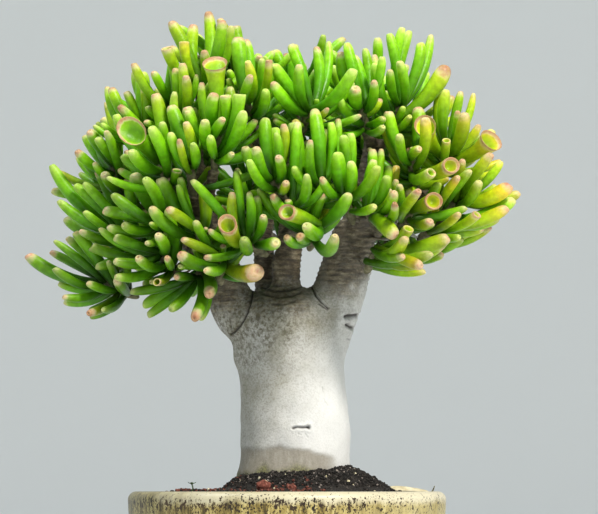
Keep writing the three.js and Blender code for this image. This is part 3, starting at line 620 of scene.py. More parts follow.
# the curve of a leaf of a head, from its share of the way up the stem, its length, its tilt off the stem's
# axis and its turn round it
def grownLeaf(stem, side, other, share, length, tilt, turn):
    out = math.cos(turn) * side + math.sin(turn) * other
    direction = math.cos(tilt) * stem["axis"] + math.sin(tilt) * out
    direction[2] = max(direction[2] + growth["lift"], growth["steepest"])
    direction = unit(direction)
    wayUp = growth["footFrom"] + growth["footSpread"] * share
    foot = stem["foot"] + wayUp * (stem["top"] - stem["foot"]) + growth["footOut"] * out
    bend = unit(direction + 0.5 * out - np.array([0, 0, growth["sag"]]))
    return {"start": foot[None], "handle": (foot + 0.5 * length * bend)[None],
            "tip": (foot + length * direction)[None], "across": unit(np.cross(direction, side + other))[None]}


# True where places along a leaf stray into bare wood, or beside the crown
def seenAmiss(seen, seenNear):
    if any(insideOutline(seen, outline).any() for outline in bareWood):
        return True
    strays = np.linalg.norm(seen[:, None] - seenNear, axis=2).min(1) > growth["stray"]
    return (strays & ~insideOutline(seen, fullCrown)).any()


# Leaves between those of the solids. Each is tried by the golden angle round its head's stem, and grows
# where balls along its curve touch neither another leaf nor wood.
def moreLeaves():
    wood = BVHTree.FromPolygons(*[part.tolist() for part in mergedMesh("trunk")])
    along, samples = np.linspace(0.12, 1, 10), np.linspace(0.3, 1, 7)
    balls = np.concatenate([leafCurves(leaves, along)[0].reshape(-1, 3) for leaves in heads.values()])
    sizes = np.concatenate([np.repeat(leaves["radius"], len(along)) for leaves in heads.values()])
    seenBalls = photoPlace(balls)  # of the solids
    goldenAngle = np.pi * (3 - math.sqrt(5))
    grownCount = 0
    for name, leaves in heads.items():
        stem = stems[name]
        side = unit(np.cross(stem["axis"], (0, -1, 0)))
        other = np.cross(stem["axis"], side)
        near = np.linalg.norm(balls - stem["top"], axis=1) < growth["reach"]
        nearBalls, nearSizes, seenNear = balls[near], sizes[near], seenBalls[near[:len(seenBalls)]]
        added = {key: [] for key in leaves}
        for order in range(growth["tries"]):
            share = (order + 0.5) / growth["tries"]
            young = growth["budSize"] if share > growth["budShare"] else 1
            shift = chance.uniform(-0.3, 0.3)
            length = young * chance.uniform(growth["least"], growth["most"]) * (1.15 - 0.3 * share)
            radius = (0.4 + 0.6 * young) * chance.uniform(growth["thin"], growth["thick"])
            tilt = growth["tiltLow"] - growth["tiltFall"] * share
            tilt += chance.uniform(-growth["tiltChance"], growth["tiltChance"])
            for turnTry in range(growth["turns"]):
                turn = order * goldenAngle + shift + turnTry * growth["nudge"]
                one = grownLeaf(stem, side, other, share, length, tilt, turn)
                place = leafCurves(one, samples)[0][0]
                gaps = np.linalg.norm(place[:, None] - nearBalls[None], axis=2)
                if (gaps < growth["touch"] * (nearSizes + radius)).any():
                    continue
                if seenAmiss(photoPlace(place), seenNear):
                    continue
                if any(wood.find_nearest(spot, radius * growth["clearOfWood"])[0] for spot in place.tolist()):
                    continue
                one["radius"] = np.array([radius])
                for key, value in one.items():
                    added[key].append(value)
                newBalls, newSizes = leafCurves(one, along)[0][0], np.full(len(along), radius)
                nearBalls = np.concatenate([nearBalls, newBalls])
                nearSizes = np.concatenate([nearSizes, newSizes])
                balls, sizes = np.concatenate([balls, newBalls]), np.concatenate([sizes, newSizes])
                grownCount += 1
                break
        for key, values in added.items():
            leaves[key] = np.concatenate([leaves[key]] + values)
    print("leaves added:", grownCount)


moreLeaves()
chooseForms(heads)


twig = {
    # stations along each head's stem: share of its length, and radius
    "stations": [(-0.14, 0.0009), (-0.04, 0.0021), (0.12, 0.0028), (0.3, 0.0029), (0.5, 0.0028),
                 (0.75, 0.0026), (0.97, 0.0020), (1.03, 0.0008)],
    "bark": [(0.3, "#3a3524"), (0.55, "#676447"), (0.75, "#8d866c")],
    "mottleSize": 0.003, "scarSize": 0.0012,
}

leafFinish = {
    # colours from foot to tip, in the shade and in the sun
    "green": [(0.0, "#274c04"), (0.3, "#417c06"), (0.6, "#5c9f08"), (0.84, "#7cb812"), (0.95, "#a0c646")],
    "yellow": [(0.0, "#4d7208"), (0.35, "#7fa00c"), (0.7, "#aeb716"), (0.86, "#cfb52c"), (0.96, "#dd9a55")],
    "cork": [(0.35, "#c9bd8c"), (0.5, "#dfd5b0"), (0.65, "#d9b196")],
    "rim": [(0.2, "#a9713f"), (0.75, "#a4583d"), (0.9, "#94562c")],
    "corkStart": 0.99, "corkReach": -0.09,  # way along the leaf where cork starts, and what blush adds to it
    "raggedness": 0.12,
    "mottleSize": 0.0035, "wrinkleSize": 0.0012, "wrinkleDepth": 0.0005,
}


# Jade leaf: a smooth waxy skin over watery flesh. It shines softly, is darker at its foot and in some leaves,
# is darker low on the plant and to its left as painted shade, and ends in a corky pale tip with a rim that
# blushes brown.
def leafMaterial():
    material, add, place = newMaterial("waxyLeaf")
    along, tone, blush, sunny = [add(("Attribute", {"attribute_name": key}), give="Fac")
                                 for key in ("along", "tone", "blush", "sunny")]
    mottle = add("TexNoise", place, 1 / leafFinish["mottleSize"], 3, fine)
    green = add("ValToRGB", along, stops=leafFinish["green"])
    yellow = add("ValToRGB", along, stops=leafFinish["yellow"])
    body = add(blend, sunny, green, yellow)
    mottled = add("MapRange", mottle, 0.3, 0.7, 0.74, 1.16)
    body = add(multiply, 1, body, mottled)
    # painted shade and tone: leaves low on the plant and to its left are darker, and leaves differ at random
    paintedShadeAndTone = add("MapRange", tone, 0, 1, 0.52, 1.42)
    body = add(multiply, 1, body, paintedShadeAndTone)
    # the tip's cork starts a few millimetres below the rim, further down on some leaves, with a ragged edge
    ragged = add(timesPlus, mottle, leafFinish["raggedness"], -0.5 * leafFinish["raggedness"])
    reach = add(plus, along, ragged)
    start = add(timesPlus, blush, leafFinish["corkReach"], leafFinish["corkStart"])
    past = add(minus, reach, start)
    corkPlace = add("MapRange", past, -0.05, 0.05, 0, 1)
    corkShare = add("MapRange", blush, 0.1, 0.55, 0.3, 0.9)
    cork = add(times, corkPlace, corkShare)
    body = add(blend, cork, body, add("ValToRGB", mottle, stops=leafFinish["cork"]))
    rimPlace = add("MapRange", past, -0.01, 0.05, 0, 1)
    rimShare = add("MapRange", blush, 0.2, 0.9, 0.1, 0.72)
    rim = add(times, rimPlace, rimShare)
    body = add(blend, rim, body, add("ValToRGB", blush, stops=leafFinish["rim"]))
    wrinkle = add("TexNoise", place, 1 / leafFinish["wrinkleSize"], 3, fine)
    height = add(plus, wrinkle, add(times, mottle, 1.5))
    return finishMaterial(material, Base_Color=body,
                          Roughness=add("MapRange", mottle, 0.3, 0.7, 0.32, 0.46),
                          Specular_IOR_Level=0.26, Subsurface_Weight=0.12, Subsurface_Radius=(0.5, 1.0, 0.15),
                          Subsurface_Scale=0.0025,
                          Normal=add("Bump", 0.3, leafFinish["wrinkleDepth"], Height=height))


# Young jade stem: thin greenish-brown bark with leaf scars, dry and dull.
def youngBarkMaterial():
    material, add, place = newMaterial("youngBark")
    mottle = add("TexNoise", place, 1 / twig["mottleSize"], 4, fine)
    scars = add("TexNoise", place, 1 / twig["scarSize"], 3, fine)
    return finishMaterial(material, Base_Color=add("ValToRGB", mottle, stops=twig["bark"]),
                          Roughness=0.75, Normal=add("Bump", 0.4, 0.0006, Height=scars))


# rings of a tube along a line: radius * (across cos a + other sin a) round each of its points
def tubeAlong(line, radii, sides=8):
    line = np.asarray(line, float)
    ahead = unit(np.gradient(line, axis=0))
    across = unit(np.cross(ahead, unit(np.cross(line[-1] - line[0], (0.3, -1, 0.2)))))
    other = np.cross(ahead, across)
    angle = np.arange(sides) * 2 * np.pi / sides
    circle = across[:, None] * np.cos(angle)[:, None] + other[:, None] * np.sin(angle)[:, None]
    points = (line[:, None] + np.asarray(radii)[:, None, None] * circle).reshape(-1, 3)
    first = list(range(sides))
    last = list(range(len(points) - sides, len(points)))
    return points, gridFaces(len(line), sides).tolist() + [first[::-1], last]


# each head's leaves and its stem, as one piece that is subdivided once
def makeHeads():
    leafSkin, stemSkin = leafMaterial(), youngBarkMaterial()
    for name, leaves in heads.items():
        surfaces, leafFaces, way = leafSurfaces(leaves)
        count, size = surfaces.shape[:2]
        points = surfaces.reshape(-1, 3)
        faces = [[corner + index * size for corner in face] for index in range(count) for face in leafFaces]
        attributes = {key: np.repeat(leaves[key], size) for key in ("tone", "blush", "sunny")}
        attributes["along"] = way.ravel()
        stem = stems[name]
        levels, radii = np.array(twig["stations"]).T
        tube, tubeFaces = tubeAlong(stem["foot"] + levels[:, None] * (stem["top"] - stem["foot"]), radii)
        stemFaces = [[corner + len(points) for corner in face] for face in tubeFaces]
        points = np.concatenate([points, tube])
        for key, values in attributes.items():
            attributes[key] = np.concatenate([values, np.zeros(len(tube))])
        kinds = [0] * len(faces) + [1] * len(stemFaces)
        piece = makePiece("fine_" + name, points, faces + stemFaces, [leafSkin, stemSkin], [name],
                          attributes, kinds)
        rounding = piece.modifiers.new("rounding", "SUBSURF")
        rounding.levels = rounding.render_levels = 1


makeHeads()
print("leaves made")


trunk = {
    "voxel": 0.00115,
    "smoothings": 60,
    # heights between which the wood thins, and how much less it is smoothed there
    "thinnings": [((0.165, 0.185), 0.45), ((0.19, 0.21), 0.4)],
    "lumpHeight": 0.0006, "lumpSize": 0.010, "grainHeight": 0.00016, "grainSize": 0.0026,
    "ringSpacing": 0.0029, "ringHeight": 0.00032,
    "wander": 0.0012, "wanderSize": 0.006,  # how far the edges of the tones wander
    # where the tones of the wood change, each from and to
    "branchHeight": (0.162, 0.180), "twigHeight": (0.2, 0.22),
    # painted shade: where the top of the trunk, under the crown, takes the branches' brown
    "topShadeHeight": (0.148, 0.163), "topShadeMiddle": -0.006, "topShadeHalf": 0.026,
    "leftHeight": (0.146, 0.164), "leftEdge": -0.02,
    "rightHeight": (0.158, 0.176), "rightEdge": (0.014, 0.024),
    # the right branch, and the share of its right side that is painted paler as painted sunlight
    "rightFoot": (0.032, 0.165), "rightLean": 0.52, "rightBranchLitSide": (-0.002, 0.010),
    # painted sunlight: where the lower trunk turns paler
    "sunEdge": (-0.045, 0.012), "sunHeight": (0.130, 0.155), "sunFrom": 0.075, "sunLean": 0.55,
    "speckleHeight": (0.118, 0.160), "speckleLean": 0.45,
    "mossHeight": 0.0745, "mossFade": 0.006,
    "nearLine": 0.0028,  # the mesh is cut finer within this of a line
    # grooves on the front: lines in the photo, then width and depth in metres
    "grooves": {
        "left": ([(253, 291), (250.5, 304), (246, 316), (240.5, 325), (234, 332), (228, 335)],
                 0.00062, 0.0011),
        "leftSpur": ([(230, 319), (231, 331)], 0.0004, 0.0004),
        "right": ([(312, 288), (316, 296), (321, 302), (328, 308)], 0.00055, 0.0010),
        "rightTwin": ([(319, 304), (323, 307), (327.5, 309.5)], 0.00045, 0.0006),
        "upperKnot": ([(346, 316.5), (350, 316), (359, 315.5)], 0.0011, 0.0018),
        "lowerKnot": ([(348, 325.5), (352, 328), (357, 329)], 0.0010, 0.0016),
        "knotSpeck": ([(348, 339), (350.5, 340)], 0.0005, 0.0004),
        "scar": ([(293, 428.3), (297, 427.2), (303, 427.6), (309, 427)], 0.00065, 0.0009),
        "scarEnd": ([(307.5, 427.5), (309, 428.2)], 0.0009, 0.0010),
        "scarSpeck": ([(298, 434), (301, 435)], 0.0004, 0.0002),
        "scarTwin": ([(305, 434), (307.5, 437)], 0.0004, 0.0002),
        "speckHigh": ([(322.5, 387), (323.5, 392)], 0.00035, 0.00015),
        "speckLow": ([(324, 398), (325, 402), (328, 405)], 0.00035, 0.00015),
    },
    # folds round the foot of the middle branch
    "folds": {
        "first": ([(262, 288), (275, 291), (290, 290.5), (302, 287)], 0.0007, 0.0006),
        "second": ([(264, 294), (278, 297), (292, 296), (300, 293)], 0.0007, 0.0005),
        "third": ([(272, 303), (283, 304.5), (294, 302)], 0.0006, 0.0003),
    },
    # soft hollows, and a swelling: a place in the photo, then width and depth in metres
    "hollows": {
        "underLeftBranch": ((224, 346), 0.0075, 0.0044),
        "besideMiddleBranch": ((272, 262), 0.006, -0.0016),
    },
    # upper edge of the browner band round the foot, from left to right in the photo, and where it ends there.
    # It is on the trunk alone, below a height in metres, and a little sunk.
    "bandEdge": [(225, 444), (245, 447), (262, 448), (278, 444), (290, 446.5), (307, 449), (323, 453),
                 (332, 454.5), (344, 464), (360, 478)],
    "bandEnd": 341, "bandTop": 0.1, "bandDepth": 0.0004,
}

barkFinish = {
    "silver": [(0.3, "#8e8b7b"), (0.5, "#a3a199"), (0.7, "#b6b5b1")],
    # painted sunlight, freckles and blotches, and the painted shade of creases and grooves
    "bleached": "#e2e2e2", "freckle": "#5a523c", "blotch": "#4f4832", "creaseShade": "#241c15",
    "branch": [(0.32, "#332a20"), (0.5, "#5f523e"), (0.66, "#93876e")],
    "band": [(0.3, "#7c7463"), (0.55, "#948c7e"), (0.8, "#a7a196")],
    "moss": [(0.4, "#3f3f20"), (0.6, "#86854c")],
    "cloudSize": 0.014, "freckleSize": 0.0011, "blotchSize": 0.0021, "wrinkleSize": 0.0024,
}


# distance in pixels from each place to a broken line
def distanceToLine(places, line):
    line = np.array(line, float)
    best = np.full(len(places), 1e9)
    for first, second in zip(line[:-1], line[1:]):
        step = second - first
        share = np.clip(((places - first) @ step) / (step @ step), 0, 1)
        best = np.minimum(best, np.linalg.norm(places - first - share[:, None] * step, axis=1))
    return best


# Old jade bark: thin, smooth and silvery, with fine dark freckles that thin out where sunlight is painted on
# it as a paler colour.
# On the branches it is brown, with dark rings where leaves once grew. It is dry and matt.
def barkMaterial():
    material, add, place = newMaterial("silverBark")
    brown, bleached, band, moss, dark, speckled = [
        add(("Attribute", {"attribute_name": key}), give="Fac")
        for key in ("brown", "bleached", "band", "moss", "dark", "speckled")]
    cloud = add("TexNoise", place, 1 / barkFinish["cloudSize"], 4, fine)
    freckle = add("TexNoise", place, 1 / barkFinish["freckleSize"], 3, 0.75)
    upright = add("Mapping", place, Scale=(1, 1, 0.4))
    streak = add("TexNoise", upright, 1 / barkFinish["wrinkleSize"], 4, 0.65)
    level = add("Mapping", place, Scale=(0.45, 0.45, 1))
    wrinkle = add("TexNoise", level, 1 / barkFinish["wrinkleSize"], 4, 0.65)
    blotch = add("TexNoise", place, 1 / barkFinish["blotchSize"], 4, 0.7)
    # silver, painted paler as painted sunlight where the key light falls, with freckles and larger blotches
    silver = add("ValToRGB", cloud, stops=barkFinish["silver"])
    silver = add(blend, bleached, silver, barkFinish["bleached"])
    freckled = add("MapRange", freckle, 0.38, 0.54, 0.45, 0)
    freckled = add(times, freckled, add("MapRange", bleached, 0, 1, 1, 0.1))
    silver = add(blend, freckled, silver, barkFinish["freckle"])
    blotched = add(times, add("MapRange", blotch, 0.40, 0.56, 0.85, 0), speckled)
    silver = add(blend, blotched, silver, barkFinish["blotch"])
    # brown with growth rings: wavy bands across the branch, which at a scale of 1 would be 0.314 m apart
    wave = ("TexWave", {"bands_direction": "Z"})
    rings = add(wave, place, 0.314 / trunk["ringSpacing"], 4, 3, 0.6, give="Fac")
    ringed = add("MapRange", rings, 0, 0.5, 0.6, 1)
    branch = add("ValToRGB", wrinkle, stops=barkFinish["branch"])
    branch = add(multiply, 1, branch, ringed)
    # brown bark on the branches, which also carries the painted shade at the trunk's top
    body = add(blend, brown, silver, branch)
    body = add(blend, band, body, add("ValToRGB", streak, stops=barkFinish["band"]))
    body = add(blend, moss, body, add("ValToRGB", freckle, stops=barkFinish["moss"]))
    # painted shade in the creases, grooves and ring troughs
    body = add(blend, dark, body, barkFinish["creaseShade"])
    wrinkled = add(times, wrinkle, brown)
    height = add(timesPlus, wrinkled, 2.5, freckle)
    return finishMaterial(material, Base_Color=body, Roughness=0.7,
                          Normal=add("Bump", 0.45, 0.0006, Height=height))


# the wood's solid made even with small voxels, as a mesh
def voxelWood():
    points, triangles = mergedMesh("trunk")
    mesh = bpy.data.meshes.new("woodWork")
    mesh.from_pydata(points.tolist(), [], triangles.tolist())
    work = addObject("woodWork", mesh)
    remesh = work.modifiers.new("voxels", "REMESH")
    remesh.mode, remesh.voxel_size = "VOXEL", trunk["voxel"]
    even = modifiedMesh(work)
    bpy.data.objects.remove(work)
    return even


# each point moves towards the mean of its neighbours, again and again, most where the wood is thick
def smoothWood(mesh):
    count = len(mesh.vertices)
    flat = np.empty(count * 3)
    mesh.vertices.foreach_get("co", flat)
    points = flat.reshape(-1, 3)
    edges = np.empty(len(mesh.edges) * 2, int)
    mesh.edges.foreach_get("vertices", edges)
    one, other = edges.reshape(-1, 2).T
    neighbours = np.bincount(edges, minlength=count)[:, None]
    thick = 1 - sum(less * smoothStep(points[:, 2], *heights) for heights, less in trunk["thinnings"])
    for _ in range(trunk["smoothings"]):
        sums = [np.bincount(one, points[other, axis], count) + np.bincount(other, points[one, axis], count)
                for axis in range(3)]
        points = points + 0.5 * thick[:, None] * (np.stack(sums, -1) / neighbours - points)
    mesh.vertices.foreach_set("co", points.ravel())
    mesh.update()


# the lines of the grooves and folds, each with its width and depth
def woodLines():
    return list(trunk["grooves"].values()) + list(trunk["folds"].values())


# the wood's points, their normals and the faces, cut finer near the lines on its front
def fineWood():
    even = voxelWood()
    smoothWood(even)
    work = bmesh.new()
    work.from_mesh(even)
    bpy.data.meshes.remove(even)
    points, normals, _ = arraysOf(work)
    lines = [line for line, _, _ in woodLines()]
    nearest = np.min([distanceToLine(photoPlace(points), line) for line in lines], axis=0)
    isNear = (nearest * studio["pixel"] < trunk["nearLine"]) & (normals[:, 1] < 0.1)
    cutEdges = [edge for edge in work.edges if isNear[edge.verts[0].index] and isNear[edge.verts[1].index]]
    bmesh.ops.subdivide_edges(work, edges=cutEdges, cuts=2, use_grid_fill=True)
    finer = arraysOf(work)
    work.free()
    return finer


# Rings, folds and grooves are pressed in along the normals, as a sum of bell curves
# exp(-(distance / width)^2) round lines in the photo.
def makeTrunk():
    points, normals, faces = fineWood()
    pixel = studio["pixel"]
    seen = photoPlace(points)
    facing = smoothStep(-normals[:, 1], -0.1, 0.25)
    x, z = points[:, 0], points[:, 2]
    wander = trunk["wander"] * solidNoise(points, trunk["wanderSize"])
    branch = smoothStep(z + wander, *trunk["branchHeight"])
    ringWave = np.sin(2 * np.pi * (z + 0.5 * wander + 0.1 * x) / trunk["ringSpacing"])
    press = branch * trunk["ringHeight"] * ringWave
    press += trunk["lumpHeight"] * solidNoise(points, trunk["lumpSize"], 3)
    press += trunk["grainHeight"] * solidNoise(points * (1, 1, 0.6), trunk["grainSize"], 5)
    # painted shade: the troughs between the rings of the branches are darkened, in patches
    patches = smoothStep(0.8 * solidNoise(points, 0.008, 8), -0.5, 0.3)
    dark = 0.55 * branch * smoothStep(-ringWave, 0.45, 1.0) * patches
    ragged = 1 + 0.25 * solidNoise(points, 0.002, 9)
    for line, width, depth in woodLines():
        gap = distanceToLine(seen, line) * pixel * ragged
        swelling = 0.3 * np.exp(-((gap - 2.1 * width) / width) ** 2)
        press += facing * depth * (swelling - np.exp(-(gap / width) ** 2))
        # painted shade: each groove and fold is darkened on the front, the more the deeper it is
        dark = np.maximum(dark, facing * min(1, depth / 0.0008) * np.exp(-(gap / (0.8 * width)) ** 2))
    for spot, width, depth in trunk["hollows"].values():
        gap = np.linalg.norm(seen - spot, axis=1) * pixel
        press -= depth * np.exp(-(gap / width) ** 2)
    edge = np.array(trunk["bandEdge"], float)
    below = seen[:, 1] - np.interp(seen[:, 0], edge[:, 0], edge[:, 1]) + 1.2 * solidNoise(points, 0.003, 2)
    band = smoothStep(below, -1.5, 4.5) * smoothStep(trunk["bandEnd"] - seen[:, 0] + 1500 * wander, 0, 16)
    band = np.where(z < trunk["bandTop"], band, 0)
    # painted shade: a fine darker line just below the sunk band's top edge
    bandLine = band * facing * np.exp(-((below - 0.8) / 0.9) ** 2)
    press -= trunk["bandDepth"] * band
    mottle = solidNoise(points, 0.005, 6)
    # painted shade: the top of the trunk, under the crown, takes the branches' brown
    topShade = smoothStep(z + 0.005 * mottle, *trunk["topShadeHeight"])
    topShade *= smoothStep(trunk["topShadeHalf"] - np.abs(x - trunk["topShadeMiddle"]), 0, 0.014)
    leftBranch = smoothStep(z + 0.006 * mottle, *trunk["leftHeight"])
    leftBranch *= smoothStep(trunk["leftEdge"] - x, 0, 0.01)
    # the right branch leans out; its right side is painted paler as painted sunlight, with less of its brown
    footX, footZ = trunk["rightFoot"]
    across = x - footX - trunk["rightLean"] * (z - footZ) + 0.006 * mottle
    rightBranchLitSide = smoothStep(across, *trunk["rightBranchLitSide"])
    rightBranch = smoothStep(z + 0.004 * mottle, *trunk["rightHeight"]) * smoothStep(x, *trunk["rightEdge"])
    rightBranch *= 1 - 0.85 * rightBranchLitSide
    twigs = smoothStep(z + wander, *trunk["twigHeight"])
    # brown bark of the branches and twigs, with the painted shade at the trunk's top
    brown = np.maximum.reduce([0.62 * topShade, 0.85 * leftBranch, 0.85 * rightBranch, twigs,
                               branch * smoothStep(0.022 - x, 0, 0.006)])
    # painted sunlight: the lower trunk turns paler towards its right, where the key light falls, and so does
    # the right side of the right branch
    bleached = smoothStep(x - trunk["sunLean"] * (z - trunk["sunFrom"]) + 0.004 * mottle, *trunk["sunEdge"])
    bleached *= 1 - smoothStep(z, *trunk["sunHeight"])
    bleached = np.maximum(bleached, 0.7 * smoothStep(x, 0.02, 0.03) * rightBranchLitSide)
    moss = smoothStep(trunk["mossHeight"] + 4 * wander - z, 0, trunk["mossFade"])
    speckled = smoothStep(z + 0.014 * mottle - trunk["speckleLean"] * x, *trunk["speckleHeight"])
    speckled *= 1 - 0.6 * smoothStep(x, 0.0, 0.02)
    attributes = {
        "brown": np.clip(brown, 0, 0.95),
        "speckled": np.clip(speckled, 0, 1),
        "bleached": 0.9 * bleached * (1 - 0.5 * band),
        "band": 0.75 * band,
        "moss": 0.8 * moss,
        "dark": np.clip(np.maximum(dark, 0.22 * bandLine), 0, 0.93),
    }
    pressed = points + press[:, None] * normals
    makePiece("bark", pressed, faces, [barkMaterial()], ["trunk"], attributes)
    print("bark has", len(faces), "faces")


makeTrunk()
print("trunk made")


pot = {
    "wall": 0.0095, "lip": 0.0045, "footRadius": 0.062, "footHeight": 0.003, "floor": 0.009, "taper": 0.004,
    "drains": 3, "drainRadius": 0.0055, "drainSpread": 0.034, "drillLength": 0.06,
    "turns": 144, "drainTurns": 32,
    "footHollow": 0.0016, "footRing": 0.0045, "heel": 0.008, "innerCorner": 0.004,
    "inSolid": 0.984,  # its radius over that of its solid, which is measured over the lip's bulge
    "unevenness": 0.00022,  # of a wall drawn up by hand
    "ringDepth": 0.00012, "ringPitch": 0.007,
}
potRadius, potHeight = pot["inSolid"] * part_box("pot")[1][0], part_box("pot")[1][2]

glaze = {
    # the lip's colours, and the paler one of painted sunlight on its right
    "cream": [(0.3, "#aca381"), (0.7, "#c4bda2")], "sunlitLip": "#ddd5bb",
    "ochre": [(0.34, "#4e421f"), (0.46, "#8d7a3e"), (0.58, "#b7a668"), (0.72, "#d6ca92")],
    "calmAndLit": [(0.3, "#a8995f"), (0.7, "#cfc392")],
    # colours of the painted shade on the left side
    "leftShade": [(0.35, "#3d361d"), (0.65, "#948a58")],
    "iron": [(0.35, "#1d130b"), (0.65, "#3a2815")],
    "clay": [(0.3, "#8a6f52"), (0.7, "#a58a69")],
    "runSize": 0.0028, "cloudSize": 0.014,
    "cloudLift": 0.005, "runLift": 0.004, "cloudShift": 0.03,  # how far the noises move the edges of the bands
    # heights and places across, from and to, where the glaze changes
    "lipHeight": (0.0570, 0.0605), "calmHeight": (0.015, 0.048), "bareHeight": (0.0052, 0.0062),
    "beltLow": (0.046, 0.0565), "beltHigh": (0.0590, 0.0632), "beltSide": (0.01, 0.06),
    # places across: painted sunlight on the lit right, and painted shade on the left
    "litSide": (0.035, 0.085), "sunlitLipSide": (-0.05, 0.07), "leftShadeSide": (-0.066, -0.01),
    # the noise above which freckles show, on the plain wall and in the belt
    "freckles": [{"size": 0.0017, "sparse": 0.68, "dense": 0.545, "strength": 1.0},
                 {"size": 0.0009, "sparse": 0.66, "dense": 0.545, "strength": 0.9}],
}


# Glazed stoneware: an oatmeal glaze over clay with iron in it. The iron bleeds through as dark brown freckles
# that crowd below the lip and run a little, over ochre. It is smooth, with a soft shine.
def glazeMaterial():
    material, add, place = newMaterial("freckledGlaze")
    side = add("SeparateXYZ", place, give="X")
    height = add("SeparateXYZ", place, give="Z")
    running = add("Mapping", place, Scale=(1, 1, 0.2))
    runs = add("TexNoise", running, 1 / glaze["runSize"], 4, 0.6)
    tall = add("Mapping", place, Scale=(1, 1, 0.6))
    cloud = add("TexNoise", tall, 1 / glaze["cloudSize"], 3, fine)
    # the two noises lift and lower the edges of the bands, by 4.5 mm in the mean
    shifted = add(timesPlus, cloud, glaze["cloudLift"], height)
    shifted = add(timesPlus, runs, glaze["runLift"], shifted)
    # and the cloud moves their ends round the pot
    sideShifted = add(timesPlus, cloud, glaze["cloudShift"], side)
    # the ochre is calmer low on the wall, and calmer and paler towards the right as painted sunlight
    calmAndLit = add(larger, add("MapRange", height, *glaze["calmHeight"], 0.75, 0),
               add("MapRange", sideShifted, *glaze["litSide"], 0, 0.8))
    ochre = add(blend, calmAndLit, add("ValToRGB", runs, stops=glaze["ochre"]),
                add("ValToRGB", cloud, stops=glaze["calmAndLit"]))
    # the lip is painted paler towards the right, as painted sunlight
    lipSunlight = add("MapRange", side, *glaze["sunlitLipSide"], 0, 0.75)
    lip = add("ValToRGB", cloud, stops=glaze["cream"])
    lip = add(blend, lipSunlight, lip, glaze["sunlitLip"])
    body = add(blend, add("MapRange", shifted, *glaze["lipHeight"], 0, 1), ochre, lip)
    # painted shade: the left side is darker, streaked by the glaze runs
    shadedLeft = add("MapRange", sideShifted, *glaze["leftShadeSide"], 0.85, 0)
    body = add(blend, shadedLeft, body, add("ValToRGB", runs, stops=glaze["leftShade"]))
    # freckles: big ones crowd in a belt below the lip, and fine ones are everywhere
    belt = add(times, add("MapRange", shifted, *glaze["beltLow"], 0, 1),
               add("MapRange", shifted, *glaze["beltHigh"], 1, 0))
    belt = add(times, belt, add("MapRange", side, *glaze["beltSide"], 1, 0.6))
    iron = add("ValToRGB", cloud, stops=glaze["iron"])
    dripping = add("Mapping", place, Scale=(1, 1, 0.65))
    for freckle in glaze["freckles"]:
        cells = add("TexNoise", dripping, 1 / freckle["size"], 2, 0.6)
        limit = add(timesPlus, belt, freckle["dense"] - freckle["sparse"], freckle["sparse"])
        above = add(minus, cells, limit)
        spot = add("MapRange", above, 0, 0.02, 0, freckle["strength"])
        body = add(blend, spot, body, iron)
    # the foot is bare clay
    bare = add("MapRange", height, *glaze["bareHeight"], 1, 0)
    body = add(blend, bare, body, add("ValToRGB", cloud, stops=glaze["clay"]))
    return finishMaterial(material, Base_Color=body, Specular_IOR_Level=0.35,
                          Roughness=add("MapRange", bare, 0, 1, 0.38, 0.8),
                          Normal=add("Bump", 0.2, 0.0004, Height=runs))


# cuts the drain holes, and leaves their result in the mesh
def drillDrains(piece):
    drills = bmesh.new()
    for drain in range(pot["drains"]):
        turn = 2 * math.pi * drain / pot["drains"] + math.pi / 6
        spot = (pot["drainSpread"] * math.cos(turn), pot["drainSpread"] * math.sin(turn), 0)
        bmesh.ops.create_cone(drills, cap_ends=True, segments=pot["drainTurns"], radius1=pot["drainRadius"],
                              radius2=pot["drainRadius"], depth=pot["drillLength"],
                              matrix=Matrix.Translation(spot))
    drillMesh = bpy.data.meshes.new("drills")
    drills.to_mesh(drillMesh)
    drills.free()
    drill = addObject("drills", drillMesh)
    cut = piece.modifiers.new("drains", "BOOLEAN")
    cut.operation, cut.object, cut.solver = "DIFFERENCE", drill, "EXACT"
    cutMesh = modifiedMesh(piece)
    piece.modifiers.clear()
    piece.data = cutMesh
    bpy.data.objects.remove(drill)


